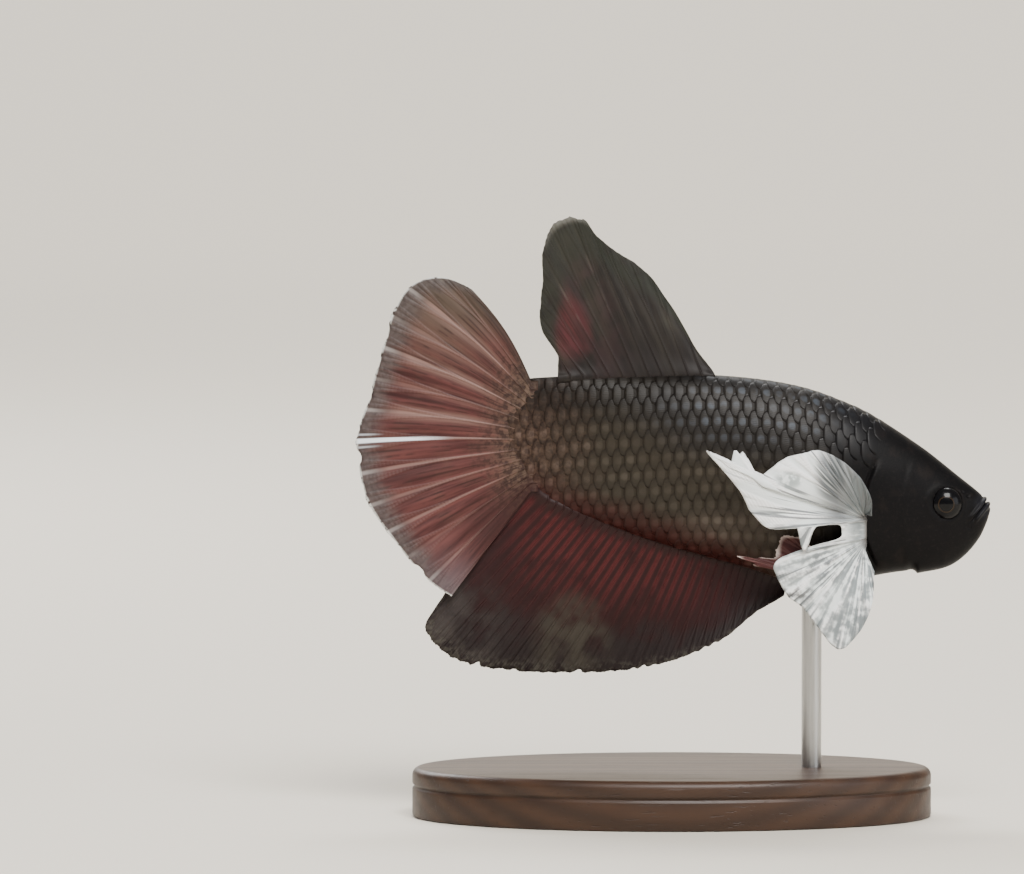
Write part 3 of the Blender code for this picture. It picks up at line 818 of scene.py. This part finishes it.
def add_pectoral_fin(side, sign, charts):
    """Adds one pectoral fin. sign is -1 on the right."""

    def root(u):
        # The rays of the upper lobe start close together, and so do those of the lower one.
        down = np.interp(u, (0.0, 0.57, 0.63, 1.0), (0.0, 0.15, 0.72, 1.0))
        z = PECTORAL_TOP + (PECTORAL_BOTTOM - PECTORAL_TOP) * down
        y = sign * (flank(share_at(PECTORAL_X), z) + 0.2)
        return np.stack([np.full_like(u, PECTORAL_X), y, z], -1)

    def tip(u):
        edge_x, edge_z = (curve(PECTORAL_EDGE[side], u, column) for column in (1, 2))
        return np.stack([edge_x - PECTORAL_X, 0 * u, edge_z - root(u)[:, 2]], -1)

    def sway(u, v):
        v = v * np.minimum(1.0, np.linalg.norm(tip(u[0]), axis=1) / 8.0)
        flare = 3.4 - 1.2 * u
        cup = 1.3 * (1 - u)
        lift = 0.35 * ramp(v, 0, 0.15)
        return sign * (lift + flare * np.sin(v * np.pi / 2) + cup * np.sin(v * np.pi))

    def forked_tip(u, v):
        hooked = ramp(u, 0.358, 0.37) * (1 - ramp(u, 0.386, 0.397))
        hanging = ramp(u, 0.549, 0.556) * (1 - ramp(u, 0.563, 0.569))
        return 2.7 * hooked * ramp(v, 0.8, 1.02) - 2.6 * hanging * ramp(v, 0.82, 1.02)

    add_fin(
        "pectoral_fin", 15, root, tip, sway, charts, rows=40, per_ray=16, pleat=0.06, root_half=0.3,
        root_taper=0.1, ragged=0.015, ridge=0.06, inward=(0, -sign, 0.0),
        bend=forked_tip if side == "right" else None,
    )


add_pectoral_fin("right", -1, (chart(2, 2), chart(3, 2)))
add_pectoral_fin("left", 1, (chart(2, 3), chart(3, 3)))

pectoral_finish, tree, shader = new_finish("betta_pectoral_fin", 0.4, Specular_IOR_Level=0.4)
lines, _, ray, reach = ray_lines(0.14)
where, x, z = position()
streaks = fin_streaks(ray, reach, 5.0, 1.3)
cloud = noise(where, 2.6)
fine_cloud = noise(where, 0.8, 3.0)
hairs = fin_streaks(ray, reach, 6.0, 0.9)
along_lobe = spot(x, z, (13.2, 31.6), (4.8, 2.8))
threads = fade(hairs, 0.46, 0.4) * along_lobe * fade(cloud, 0.3, 0.45)
stray = fade(hairs, 0.4, 0.34) * fade(reach, 0.2, 0.5)
veil = fade(x, 13.2, 16.4) * fade(z, 29.6, 30.4) * fade(reach, 0.05, 0.2)
thin_front = fade(x, 17.2, 19.2) * fade(z, 28.6, 30.4) * 0.75
fan = spot(x, z, (15.6, 34.8), (1.4, 2.4)) * fade(streaks, 0.6, 0.45)
# Painted shade: the front edge of the upper lobe is grey, partly its thin web and partly painted shade
# where it turns away from the light.
front = spot(x, z, (18.6, 31.8), (1.4, 4.2)) * fade(streaks, 0.6, 0.48)
mixed = streaks * 0.55 + fine_cloud * 0.45
low_lobe = fade(z, 29.0, 27.0) * fade(mixed, 0.44, 0.6) * 0.8
low_edge = fade(z, 27.0, 24.0) * fade(reach, 0.7, 1.0) * fade(hairs, 0.52, 0.42)
grey_clouds = fade(mixed, 0.4, 0.54)
low_front = spot(x, z, (18.9, 24.6), (1.8, 4.6)) * fade(mixed, 0.42, 0.54)
grey_spot = spot(x, z, (11.5, 34.4), (1.3, 0.8), 0.8) * fade(fine_cloud, 0.35, 0.55)
colour = layered(
    blend(lines, (234, 240, 240), (253, 254, 254)),
    (calc("MAXIMUM", threads, stray) * 0.85, (82, 88, 92)),
    (veil * 0.95, blend(streaks, (70, 73, 76), (142, 146, 148))),
    (thin_front, blend(streaks, (60, 61, 63), (104, 106, 108))),
    (fan * 0.9, (66, 72, 76)),
    (front * 0.8, (112, 120, 123)),
    (low_lobe, (128, 137, 139)),
    (low_edge * 0.75, (96, 104, 108)),
    (spot(x, z, (15.0, 25.6), (2.0, 1.7)) * grey_clouds * 0.8, (92, 98, 101)),
    (spot(x, z, (17.3, 19.8), (2.4, 2.0)) * grey_clouds * 0.7, (108, 116, 119)),
    (spot(x, z, (12.2, 23.1), (1.6, 0.8)) * grey_clouds * 0.75, (66, 62, 62)),
    (low_front * 0.7, (112, 121, 124)),
    (grey_spot * 0.7, (118, 130, 130)),
    (fade(reach, 0.1, 0.0), (120, 118, 116)),
)
finish_fin(colour, lines, reach, streaks, 0.09, 30.0)

# ---------------------------------------------------------------------------------------------------
# Ventral fins. Two narrow pointed fins from the throat, trailing back along the flanks: red-brown with
# pale rays, edges and tips.

VENTRAL_RAYS = ((0.0, 41, 7.3), (0.25, 33.5, 8.6), (0.5, 19.6, 8.0), (0.78, 14.7, 11.3), (1.0, 11.4, 9.0))
VENTRAL_X, VENTRAL_WIDTH, VENTRAL_Y = 17.4, 1.2, 2.0


def add_ventral_fin(sign, charts):
    """Adds one ventral fin. sign is -1 on the right."""

    def root(u):
        x = VENTRAL_X - VENTRAL_WIDTH * (u - 0.5)
        z = height(BELLY_LINE, share_at(VENTRAL_X)) + 0.15
        return np.stack([x, np.full_like(u, sign * VENTRAL_Y), np.full_like(u, z)], -1)

    def sway(u, v):
        return sign * 2.9 * np.sin(np.minimum(1.0, 1.7 * v) * np.pi / 2)

    add_fin(
        "ventral_fin", 6, root, lambda u: ray_vectors(VENTRAL_RAYS, u), sway, charts,
        rows=32, per_ray=10, pleat=0.06, root_half=0.25, ragged=0.05, inward=(0, 0, 1.0),
    )


add_ventral_fin(-1, (chart(0, 3, 0.5), chart(0.5, 3, 0.5)))
add_ventral_fin(1, (chart(1, 3, 0.5), chart(1.5, 3, 0.5)))

ventral_finish, tree, shader = new_finish("betta_ventral_fin", 0.48, Specular_IOR_Level=0.2)
lines, _, ray, reach = ray_lines(0.12)
streaks = fin_streaks(ray, reach, 3.0, 3.0)
front_edge = fade(ray, 0.2, 0.05) * fade(reach, 0.35, 0.8)
outer = calc("MAXIMUM", fade(reach, 0.9, 0.98), front_edge)
colour = layered(
    blend(streaks, (56, 27, 29), (88, 49, 48)),
    (lines * 0.4, (119, 85, 80)),
    (outer * 0.85, (222, 204, 196)),
)
finish_fin(colour, lines, reach, streaks)

# ---------------------------------------------------------------------------------------------------
# Flesh. Body and fins are one continuous skin, so no seam shows between them.


def mesh_object(name, points, faces, spots, materials, finish=None, measures=None):
    """A smooth mesh object from points in millimetres, with its unwrap and its measures. Each closed
    piece in it is turned to face outward."""
    mesh = bpy.data.meshes.new(name)
    mesh.from_pydata((points / 1000).tolist(), [], faces)
    unwrap = mesh.uv_layers.new(name="OFBake")
    unwrap.uv.foreach_set("vector", np.asarray(spots, np.float32).ravel())
    for key, values in (measures or {}).items():
        mesh.attributes.new(key, "FLOAT", "POINT").data.foreach_set("value", np.asarray(values, np.float32))
    if finish is not None:
        mesh.polygons.foreach_set("material_index", np.asarray(finish, np.int32))
    shell = bmesh.new()
    shell.from_mesh(mesh)
    bmesh.ops.recalc_face_normals(shell, faces=shell.faces)
    unseen = set(shell.faces)
    while unseen:
        piece, waiting = [], [unseen.pop()]
        while waiting:
            face = waiting.pop()
            piece.append(face)
            for edge in face.edges:
                beside = [other for other in edge.link_faces if other in unseen]
                unseen.difference_update(beside)
                waiting.extend(beside)
        volume = sum(f.calc_center_median().dot(f.normal) * f.calc_area() for f in piece)
        if volume < 0:  # the piece is inside out
            bmesh.ops.reverse_faces(shell, faces=piece)
    shell.to_mesh(mesh)
    shell.free()
    mesh.shade_smooth()
    for material in materials:
        mesh.materials.append(material)
    made = bpy.data.objects.new(name, mesh)
    bpy.context.scene.collection.objects.link(made)
    return made


whole = {name: np.concatenate(parts) for name, parts in skin.items()}
quads = whole["faces"]

# Where the rings close to a point, two corners of a quad are one, and it becomes a triangle.
hub_face = (quads[:, 0] == quads[:, 1]) | (quads[:, 2] == quads[:, 3])
faces, face_spots = [], []
for quad, corners, hub in zip(quads.tolist(), whole["unwrap"].tolist(), hub_face.tolist()):
    if hub:
        keep = [i for i in range(4) if quad[i] != quad[i - 1]]
        quad = [quad[i] for i in keep]
        corners = [corners[i] for i in keep]
    faces.append(quad)
    face_spots.extend(corners)
flesh = mesh_object(
    "betta_skin", whole["points"], faces, face_spots,
    (body_finish, dorsal_finish, anal_finish, caudal_finish, pectoral_finish, ventral_finish),
    whole["finish"], {name: whole[name] for name in ("ray", "reach", "shade")},
)
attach(flesh, "root")
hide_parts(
    "head", "lower_jaw", "gill_cover_right", "gill_cover_left", "trunk", "tail_stalk",
    "dorsal_fin", "anal_fin", "caudal_fin", "pectoral_fin_right", "pectoral_fin_left",
    "ventral_fin_right", "ventral_fin_left",
)

# ---------------------------------------------------------------------------------------------------
# Scales. Thin rounded plates set in the skin by their front edge and overlapping like roof tiles, in
# rows along the body. Each has a dark margin and a paler middle, and carries the skin's markings and
# its painted light.

SCALE_SPACING = 1.24
ROW_SPACING = 1.68
SCALE_ROWS = 13
SCALE_LENGTH, SCALE_HALF_WIDTH = 1.95, 1.4
SCALE_THICKNESS = 0.045
FIRST_SCALE_X, LAST_SCALE_X = 21.46, -17.6
SCALE_ROUNDNESS = 2.6  # 2 would be an ellipse, more is squarer
FIRST_ROW = 0.45  # distance of the first row from the middle of the back, in row spacings
BACK_ROOM, BELLY_ROOM = 0.3, 0.25  # how near the middle of a scale may come to either edge
# Bare skin: behind the gill edge up to a height, the root of the pectoral fin, and the throat.
BARE_GILL, BARE_GILL_TOP = 1.25, 37.6
FIN_ROOT_X, FIN_ROOT_Z = (16.4, 19.3), (25.9, 31.7)
THROAT_X, THROAT_Z = 17.5, 25.6
# Middle and half sizes of the pale oval of a scale, as shares of its length and half width.
PALE_MIDDLE, PALE_LENGTH, PALE_WIDTH = 0.66, 0.23, 0.34
SCALE_PATCH = 0.003  # size of a scale on the unwrap
ALONG_POINTS, ACROSS_POINTS = 8, 11
LONGEST_ROUND = 26.0  # more than the distance from back to belly anywhere

# Distance round the body from the back, so that rows keep their spacing.
share_steps = np.linspace(share_at(28.0), BODY_END, 280)
turn_steps = np.linspace(0, np.pi, 361)  # from the back round the left side to the belly
half_girth = body_surface(share_steps[:, None], (np.pi / 2 - turn_steps)[None, :])
lengths = np.linalg.norm(np.diff(half_girth, axis=1), axis=-1)
girth = np.concatenate([np.zeros((len(share_steps), 1)), np.cumsum(lengths, 1)], 1)
tail_drop = height(BACK_LINE, np.minimum(share_steps, 1.0)) - height(BACK_LINE, share_steps)
girth = girth + tail_drop[:, None]
distance_steps = np.linspace(0, LONGEST_ROUND, 521)
turn_table = np.array([np.interp(distance_steps, row, turn_steps) for row in girth])


def turn_at(share, distance):
    """How far round from the back, as an angle, a point lies at a distance round the skin."""
    i = np.clip((share - share_steps[0]) / (share_steps[1] - share_steps[0]), 0, len(share_steps) - 1.001)
    j = np.clip(distance / (distance_steps[1] - distance_steps[0]), 0, len(distance_steps) - 1.001)
    i0, j0 = i.astype(int), j.astype(int)
    fi, fj = i - i0, j - j0
    return (
        turn_table[i0, j0] * (1 - fi) * (1 - fj) + turn_table[i0 + 1, j0] * fi * (1 - fj)
        + turn_table[i0, j0 + 1] * (1 - fi) * fj + turn_table[i0 + 1, j0 + 1] * fi * fj
    )


def on_flesh(share, turn, lift, side):
    """Points that far above the skin, on one side."""
    step = 1e-3
    here = body_surface(share, np.pi / 2 - turn)
    lift = lift + skin_level(share, here)
    ahead = body_surface(share + step, np.pi / 2 - turn) - here
    round_it = body_surface(share, np.pi / 2 - (turn + step)) - here
    normal = unit(np.cross(round_it, ahead))
    normal *= np.sign(normal[..., 1:2] + 1e-12)
    placed = here + normal * lift[..., None]
    placed[..., 1] *= side
    return placed


along = np.linspace(0, 1, ALONG_POINTS)[:, None]
across = np.linspace(-1, 1, ACROSS_POINTS)[None, :]
shape = (1 - np.abs(1.9 * along - 0.92) ** SCALE_ROUNDNESS) ** (1 / SCALE_ROUNDNESS)
# Each scale is slightly domed across, and rises from its sunk front edge to its free rear edge.
crown = -0.03 * across**2
trunk_rise = -0.045 + 0.09 * ramp(along, 0.1, 0.9)
head_rise = -0.025 + 0.075 * ramp(along, 0.1, 0.9)
scatter = np.random.default_rng(5)

# Rows are staggered by half a scale. None lies on the gill cover, under a pectoral root or on the throat.
columns = int((FIRST_SCALE_X - LAST_SCALE_X) / (SCALE_SPACING / 2))
scale_spots = []
for column in range(columns):
    x = FIRST_SCALE_X - column * SCALE_SPACING / 2
    share = share_at(x)
    size = 1 - 0.1 * ramp(-x, 2.0, 12.0) - 0.16 * ramp(-x, 13.0, 18.0)
    total = float(np.interp(share, share_steps, girth[:, -1]))
    top = float(np.interp(share, share_steps, tail_drop))
    for row in range(column % 2, SCALE_ROWS, 2):
        distance = ROW_SPACING * (row + FIRST_ROW)
        if distance < top + BACK_ROOM or distance > total - BELLY_ROOM:
            continue
        turn = turn_at(np.array(share), np.array(distance))
        z = float(body_surface(np.array(share), np.pi / 2 - turn)[2])
        at_gill = z < BARE_GILL_TOP and x - gill_edge(z) > -BARE_GILL
        at_fin = FIN_ROOT_X[0] < x < FIN_ROOT_X[1] and FIN_ROOT_Z[0] < z < FIN_ROOT_Z[1]
        on_throat = x > THROAT_X and z < THROAT_Z
        if not (at_gill or at_fin or on_throat):
            scale_spots.append((share, distance, size, distance - top, total - distance))
scale_spots = np.array(scale_spots)

top_numbers = np.arange(ALONG_POINTS * ACROSS_POINTS).reshape(ALONG_POINTS, ACROSS_POINTS)
low_numbers = top_numbers + top_numbers.size

border = np.concatenate([
    top_numbers[0, :-1], top_numbers[:-1, -1], top_numbers[-1, :0:-1], top_numbers[:0:-1, 0]
])
after = np.roll(border, -1)
wall = np.stack([border, border + top_numbers.size, after + top_numbers.size, after], -1)
scale_faces = np.concatenate([grid_quads(top_numbers), grid_quads(low_numbers)[:, ::-1], wall])

scale_finish, tree, shader = new_finish("betta_scales", 0.42, Specular_IOR_Level=0.15)
colour, shine, back, where = markings_and_painted_light()

# Each scale is pale in an oval towards its free edge and dark round that, less so on the nape, up the
# back and low on the flank.
down_scale, over_scale, tone = measured("along"), measured("across"), measured("tone")
from_side = over_scale / PALE_WIDTH
from_middle = (down_scale - PALE_MIDDLE) / PALE_LENGTH
off_middle = from_side * from_side + from_middle * from_middle
pale = fade(off_middle, 1.3, 0.1)
mottle = fade(noise(where, 3.0), 0.3, 0.7)
strength = tone * 0.3 + mottle * 0.35
lighter = node("HueSaturation", {"Color": colour, "Value": 2.5, "Saturation": 0.85})
_, x, z = position()
on_head = fade(x, 14.0, 18.5)
low_flank = fade(z, 38.0, 34.0)
on_trunk = fade(x, -17.5, -12.5)
trunk_pale = pale * (1.0 - on_head * 0.8) * (1.0 - back * 0.6) * (1.0 - low_flank * 0.12)
dark = fade(off_middle, 1.6, 5.0) * (0.36 - on_head * 0.2)
dark = dark * (1.0 - low_flank * 0.5) * (on_trunk * 0.7 + 0.3)
plate = layered(
    colour,
    (trunk_pale * strength, lighter),
    (trunk_pale * (shine * (tone * 0.55 + 0.4)), SHINE_BLUE),
    (dark, (18, 15, 14)),
)
growth = node(
    "TexWave", {"Vector": plane(down_scale, over_scale * 0.5), "Scale": 4.5}, "Fac", wave_type="RINGS"
)
bump(growth * (1.0 - on_head * 0.7), 0.006)
paint(plate, growth * 0.12 + 0.34)

for side, name in ((-1, "betta_scales_right"), (1, "betta_scales_left")):
    all_points, all_faces, all_spots, tones = [], [], [], []
    for number, (share, distance, size, above, below) in enumerate(scale_spots):
        jitter = scatter.uniform(-1, 1, 4)  # of length, width, skew and tone
        length = SCALE_LENGTH * size * (1 + 0.03 * jitter[0])
        half_width = SCALE_HALF_WIDTH * size * (1 + 0.03 * jitter[1])
        shares = share + (along - 0.55) * length / STANDARD_LENGTH + 0 * across
        room = np.where(across < 0, min(1.0, above / half_width), min(1.0, below / half_width))
        skew = 0.05 * jitter[2] * (along - 0.5)
        distances = distance + (across * half_width * shape + skew) * room
        turns = turn_at(shares, distances)
        x = body_x(share)
        on_head = ramp(x, 15.5, 19.5)
        sunk = 0.015 * ramp(x, 20.2, 21.4) + 0.03 * ramp(-x, 14.5, 17.5)
        lift = (trunk_rise + crown) * (1 - on_head) + (head_rise + crown * 0.6) * on_head - sunk
        over = on_flesh(shares, turns, lift, side)
        under = on_flesh(shares, turns, lift - SCALE_THICKNESS, side)
        all_points.append(np.concatenate([over.reshape(-1, 3), under.reshape(-1, 3)]))
        faces = scale_faces if side < 0 else scale_faces[:, ::-1]
        all_faces.append(faces + number * 2 * top_numbers.size)
        root_spot = np.array((0.02 + 0.9 * share, 0.02 + 0.94 * distance / LONGEST_ROUND))
        local = np.stack([along + 0 * across, 0 * along + (across + 1) / 2], -1).reshape(-1, 2)
        patch = root_spot + SCALE_PATCH * np.concatenate([local, local])
        all_spots.append(patch[faces])
        tones.append(np.full(2 * top_numbers.size, 0.5 + 0.5 * jitter[3]))
    count = len(scale_spots)
    coat = mesh_object(
        name, np.concatenate(all_points), np.concatenate(all_faces).tolist(), np.concatenate(all_spots),
        (scale_finish,), None,
        {
            "along": np.tile((along + 0 * across).ravel(), 2 * count),
            "across": np.tile((0 * along + across).ravel(), 2 * count),
            "tone": np.concatenate(tones),
        },
    )
    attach(coat, "root")

# ---------------------------------------------------------------------------------------------------
# Eyes. A firm ball set in the side of the head, its clear front bulging past the rim: black pupil,
# very dark iris with a thin bronze ring, and a wet gloss.

EYE_RINGS, EYE_POINTS = 30, 56
PUPIL_RADIUS, IRIS_RADIUS = 0.72, 1.4
CAP_SPOT = 0.015  # size of a cap on the unwrap
POLE = 0.02  # angle at which the rings of the ball stop short of its poles


def shell_of_rings(name, rings, finish):
    """A closed piece through rings of points, its first and last ring capped."""
    count, around = rings.shape[:2]
    numbers = np.arange(count * around).reshape(count, around)
    closed = np.concatenate([numbers, numbers[:, :1]], 1)
    steps = np.linalg.norm(np.diff(rings, axis=0), axis=-1).mean(1)
    way = np.concatenate([[0.0], np.cumsum(steps)]) / steps.sum()
    across, up = np.meshgrid(np.linspace(0.02, 0.98, around + 1), 0.04 + 0.92 * way)
    faces = grid_quads(closed).tolist()
    face_spots = grid_cells(np.stack([across, up], -1), -2).reshape(-1, 2).tolist()
    turns = 2 * np.pi * np.arange(around) / around
    for ring, level in ((0, 0.02), (-1, 0.98)):
        faces.append(numbers[ring].tolist())
        cap = np.stack([0.5 + CAP_SPOT * np.cos(turns), level + CAP_SPOT * np.sin(turns)], -1)
        face_spots.extend(cap.tolist())
    return mesh_object(name, rings.reshape(-1, 3), faces, face_spots, (finish,))


for side, sign in (("right", -1), ("left", 1)):
    eye_finish, tree, shader = new_finish(
        f"betta_eye_{side}", 0.25, Coat_Weight=0.2, Coat_Roughness=0.04, Specular_IOR_Level=0.1
    )
    _, x, z = position()
    from_x = x - EYE_X
    from_z = z - EYE_Z
    off = calc("SQRT", from_x * from_x + from_z * from_z)
    bearing = calc("ARCTAN2", from_z, from_x)
    fibres = noise(plane(bearing * 7.0, off * 1.5), 1.0, 4.0)
    bronze = fade(off, PUPIL_RADIUS + 0.17, PUPIL_RADIUS + 0.03) * 0.4
    rim = fade(off, IRIS_RADIUS - 0.22, IRIS_RADIUS)
    pupil = fade(off, PUPIL_RADIUS + 0.03, PUPIL_RADIUS - 0.02)
    iris = blend(fibres, (3, 3, 4), (13, 13, 16))
    colour = layered(iris, (bronze, (70, 52, 32)), (rim, (9, 8, 9)), (pupil, (4, 4, 6)))
    feed(colour, shader.inputs["Base Color"])

    # The ball is turned about the line across the head, from its front pole to its back one.
    slant = np.linspace(POLE, np.pi - POLE, EYE_RINGS)[:, None]
    turn = np.linspace(0, 2 * np.pi, EYE_POINTS, endpoint=False)[None, :]
    radius = EYE_RADIUS * np.sin(slant)
    out = EYE_BULGE * np.cos(slant)
    ball = [EYE_X + radius * np.cos(turn), sign * (EYE_Y + out + 0 * turn), EYE_Z + radius * np.sin(turn)]
    eye = shell_of_rings(f"betta_eye_ball_{side}", np.stack(ball, -1), eye_finish)
    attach(eye, "root")
    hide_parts(f"eye_{side}")

# ---------------------------------------------------------------------------------------------------
# Stand. A turned oval base of dark stained wood, waxed, and one plain drawn steel rod let into it.

wood_finish, tree, shader = new_finish("stand_stained_wood", 0.42, Specular_IOR_Level=0.4)
where, _, _ = position()
waves = noise(stretched(where, (0.12, 1.0, 1.0)), 9.0)
grain = noise(stretched(where, (0.03, 1.0, 1.0)), 0.9, 5.0)
pores = noise(stretched(where, (0.05, 1.0, 1.0)), 0.22)
bands = node(
    "TexWave",
    {
        "Vector": stretched(where, (0.1, 1.0, 1.0), (0.0, -12.0, 22.0)),
        "Scale": 0.17, "Distortion": 4.0, "Detail": 4.0, "Detail Scale": 0.3,
    },
    "Fac", wave_type="RINGS", rings_direction="X",
)
open_pores = fade(pores, 0.62, 0.72)
bump(grain - open_pores, 0.02)
colour = layered(
    blend(bands, (46, 30, 21), (66, 44, 30)),
    (grain * 0.6, (36, 23, 16)),
    (open_pores * 0.55, (36, 22, 16)),
    (waves * 0.2, (84, 58, 40)),
)
paint(colour, grain * 0.2 + 0.32)

steel_finish, tree, shader = new_finish("stand_drawn_steel", 0.3, Metallic=1.0)
where, _, _ = position()
drawn = noise(stretched(where, (1.0, 1.0, 0.04)), 0.25, 3.0)
bump(drawn, 0.006)
paint(blend(drawn, (150, 150, 150), (205, 205, 203)), drawn * 0.22 + 0.2)

BASE_LENGTH, BASE_WIDTH, BASE_HEIGHT, BASE_ROUND = 52.0, 30.0, 5.0, 0.8
ROD_X, ROD_RADIUS, ROD_FOOT, ROD_BEVEL = 14.0, 1.0, 2.1, 0.15
INTO_BELLY = 0.35
HUB, ROD_HUB = 0.004, 0.02  # the profiles stop this close to the middle, and a cap closes them
# Rows of a turned profile: share of the way out from the middle, how far in from the oval, and z.
base_profile = [
    (HUB, 0.0, 0.0), (0.5, 0.0, 0.0), (0.96, 0.0, 0.0), (1.0, 0.3, 0.0), (1.0, 0.08, 0.1), (1.0, 0.0, 0.35),
    (1.0, 0.0, 1.6), (1.0, 0.0, 2.8), (1.0, 0.03, 2.95), (1.0, 0.2, 3.05), (1.0, 0.2, 3.25),
    (1.0, 0.03, 3.35), (1.0, 0.0, 3.5), (1.0, 0.0, 3.9),
]
for angle in np.linspace(0, np.pi / 2, 8):
    inset = BASE_ROUND * (1 - math.cos(angle))
    base_profile.append((1.0, inset, BASE_HEIGHT - BASE_ROUND * (1 - math.sin(angle))))
base_profile += [(share, BASE_ROUND, BASE_HEIGHT) for share in (0.97, 0.8, 0.6, 0.4, 0.2, HUB)]
cad_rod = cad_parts["stand_rod"]
rod_top = max((cad_rod.matrix_world @ v.co).z for v in cad_rod.data.vertices) * 1000 + INTO_BELLY
rod_profile = [(ROD_HUB, 0.0, ROD_FOOT), (1.0, ROD_BEVEL, ROD_FOOT), (1.0, 0.0, ROD_FOOT + ROD_BEVEL)]
rod_profile += [(1.0, 0.0, z) for z in np.linspace(ROD_FOOT + 1, rod_top - 1, 12)]
rod_profile += [(1.0, 0.0, rod_top - ROD_BEVEL), (1.0, ROD_BEVEL, rod_top), (ROD_HUB, ROD_BEVEL, rod_top)]
for name, replaced, finish, profile, middle_x, half_length, half_width, around in (
    ("stand_turned_base", "stand_base", wood_finish, base_profile, 0, BASE_LENGTH / 2, BASE_WIDTH / 2, 192),
    ("stand_steel_rod", "stand_rod", steel_finish, rod_profile, ROD_X, ROD_RADIUS, ROD_RADIUS, 64),
):
    turns = 2 * np.pi * np.arange(around) / around
    share, inset, z = np.array(profile).T[..., None]
    rings = [
        middle_x + share * (half_length - inset) * np.cos(turns),
        share * (half_width - inset) * np.sin(turns),
        z + 0 * turns,
    ]
    piece = shell_of_rings(name, np.stack(rings, -1), finish)
    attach(piece, "root")
    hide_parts(replaced)

# ---------------------------------------------------------------------------------------------------
# Studio. A pale paper sweep that rises behind the fish, four soft lamps and the room's even light.

SWEEP_WIDTH, SWEEP_FRONT, SWEEP_BEND, SWEEP_RADIUS, SWEEP_RISE = 6.0, -5.0, 1.2, 0.5, 1.8
paper_finish, _, shader = new_finish("pale_paper", 0.9, Specular_IOR_Level=0.1)
shader.inputs["Base Color"].default_value = tint(226, 219, 206)
profile = [(SWEEP_FRONT, 0.0), (SWEEP_BEND, 0.0)]
for angle in np.linspace(0.1, math.pi / 2, 12):
    profile.append((SWEEP_BEND + SWEEP_RADIUS * math.sin(angle), SWEEP_RADIUS * (1 - math.cos(angle))))
profile.append((SWEEP_BEND + SWEEP_RADIUS, SWEEP_RISE))
sheet = np.array([[(x, y, z) for x in (-SWEEP_WIDTH / 2, SWEEP_WIDTH / 2)] for y, z in profile]) * 1000
sweep_faces = grid_quads(np.arange(2 * len(profile)).reshape(-1, 2)).tolist()
sweep_spots = np.zeros((4 * len(sweep_faces), 2))
sweep = mesh_object("studio_sweep", sheet.reshape(-1, 3), sweep_faces, sweep_spots, (paper_finish,))


def lamp(name, place, aim, size, watts, colour):
    """A soft square lamp at a place, turned to a point, in metres."""
    light = bpy.data.lights.new(name, "AREA")
    light.size = size
    light.energy = watts
    light.color = colour
    made = bpy.data.objects.new(name, light)
    made.location = place
    toward = np.array(aim) - np.array(place)
    made.rotation_euler = (
        math.acos(-toward[2] / np.linalg.norm(toward)), 0, math.atan2(toward[1], toward[0]) - math.pi / 2
    )
    bpy.context.scene.collection.objects.link(made)


FISH_MIDDLE = (0.0, 0.0, 0.036)
lamp("key", (0.1, -0.45, 0.5), FISH_MIDDLE, 0.3, 6.5, (1.0, 0.98, 0.95))
lamp("fill", (0.55, -0.35, 0.15), FISH_MIDDLE, 0.4, 1.2, (0.95, 0.97, 1.0))
lamp("rim", (-0.3, 0.4, 0.4), FISH_MIDDLE, 0.3, 3.0, (1.0, 1.0, 1.0))
lamp("paper", (0.0, 1.0, 1.5), (0.0, 1.5, 0.2), 0.8, 29.0, (1.0, 1.0, 1.0))

world = bpy.data.worlds.new("even_room_light")
world.use_nodes = True
room_light = world.node_tree.nodes["Background"]
room_light.inputs["Color"].default_value = (0.95, 0.95, 0.96, 1.0)
room_light.inputs["Strength"].default_value = 0.3
bpy.context.scene.world = world

CAMERA_DISTANCE, CAMERA_LIFT = 1.0, math.radians(4.0)
VIEW_CENTRE, VIEW_WIDTH, SENSOR_WIDTH = (-0.016, 0.0, 0.0381), 0.1024, 36.0
camera_data = bpy.data.cameras.new("camera")
camera_data.sensor_width = SENSOR_WIDTH
camera_data.lens = SENSOR_WIDTH * CAMERA_DISTANCE / VIEW_WIDTH
camera_data.clip_start, camera_data.clip_end = 0.01, 20.0
camera = bpy.data.objects.new("camera", camera_data)
camera.location = (
    VIEW_CENTRE[0],
    VIEW_CENTRE[1] - CAMERA_DISTANCE * math.cos(CAMERA_LIFT),
    VIEW_CENTRE[2] + CAMERA_DISTANCE * math.sin(CAMERA_LIFT),
)
camera.rotation_euler = (math.pi / 2 - CAMERA_LIFT, 0, 0)
bpy.context.scene.collection.objects.link(camera)
bpy.context.scene.camera = camera
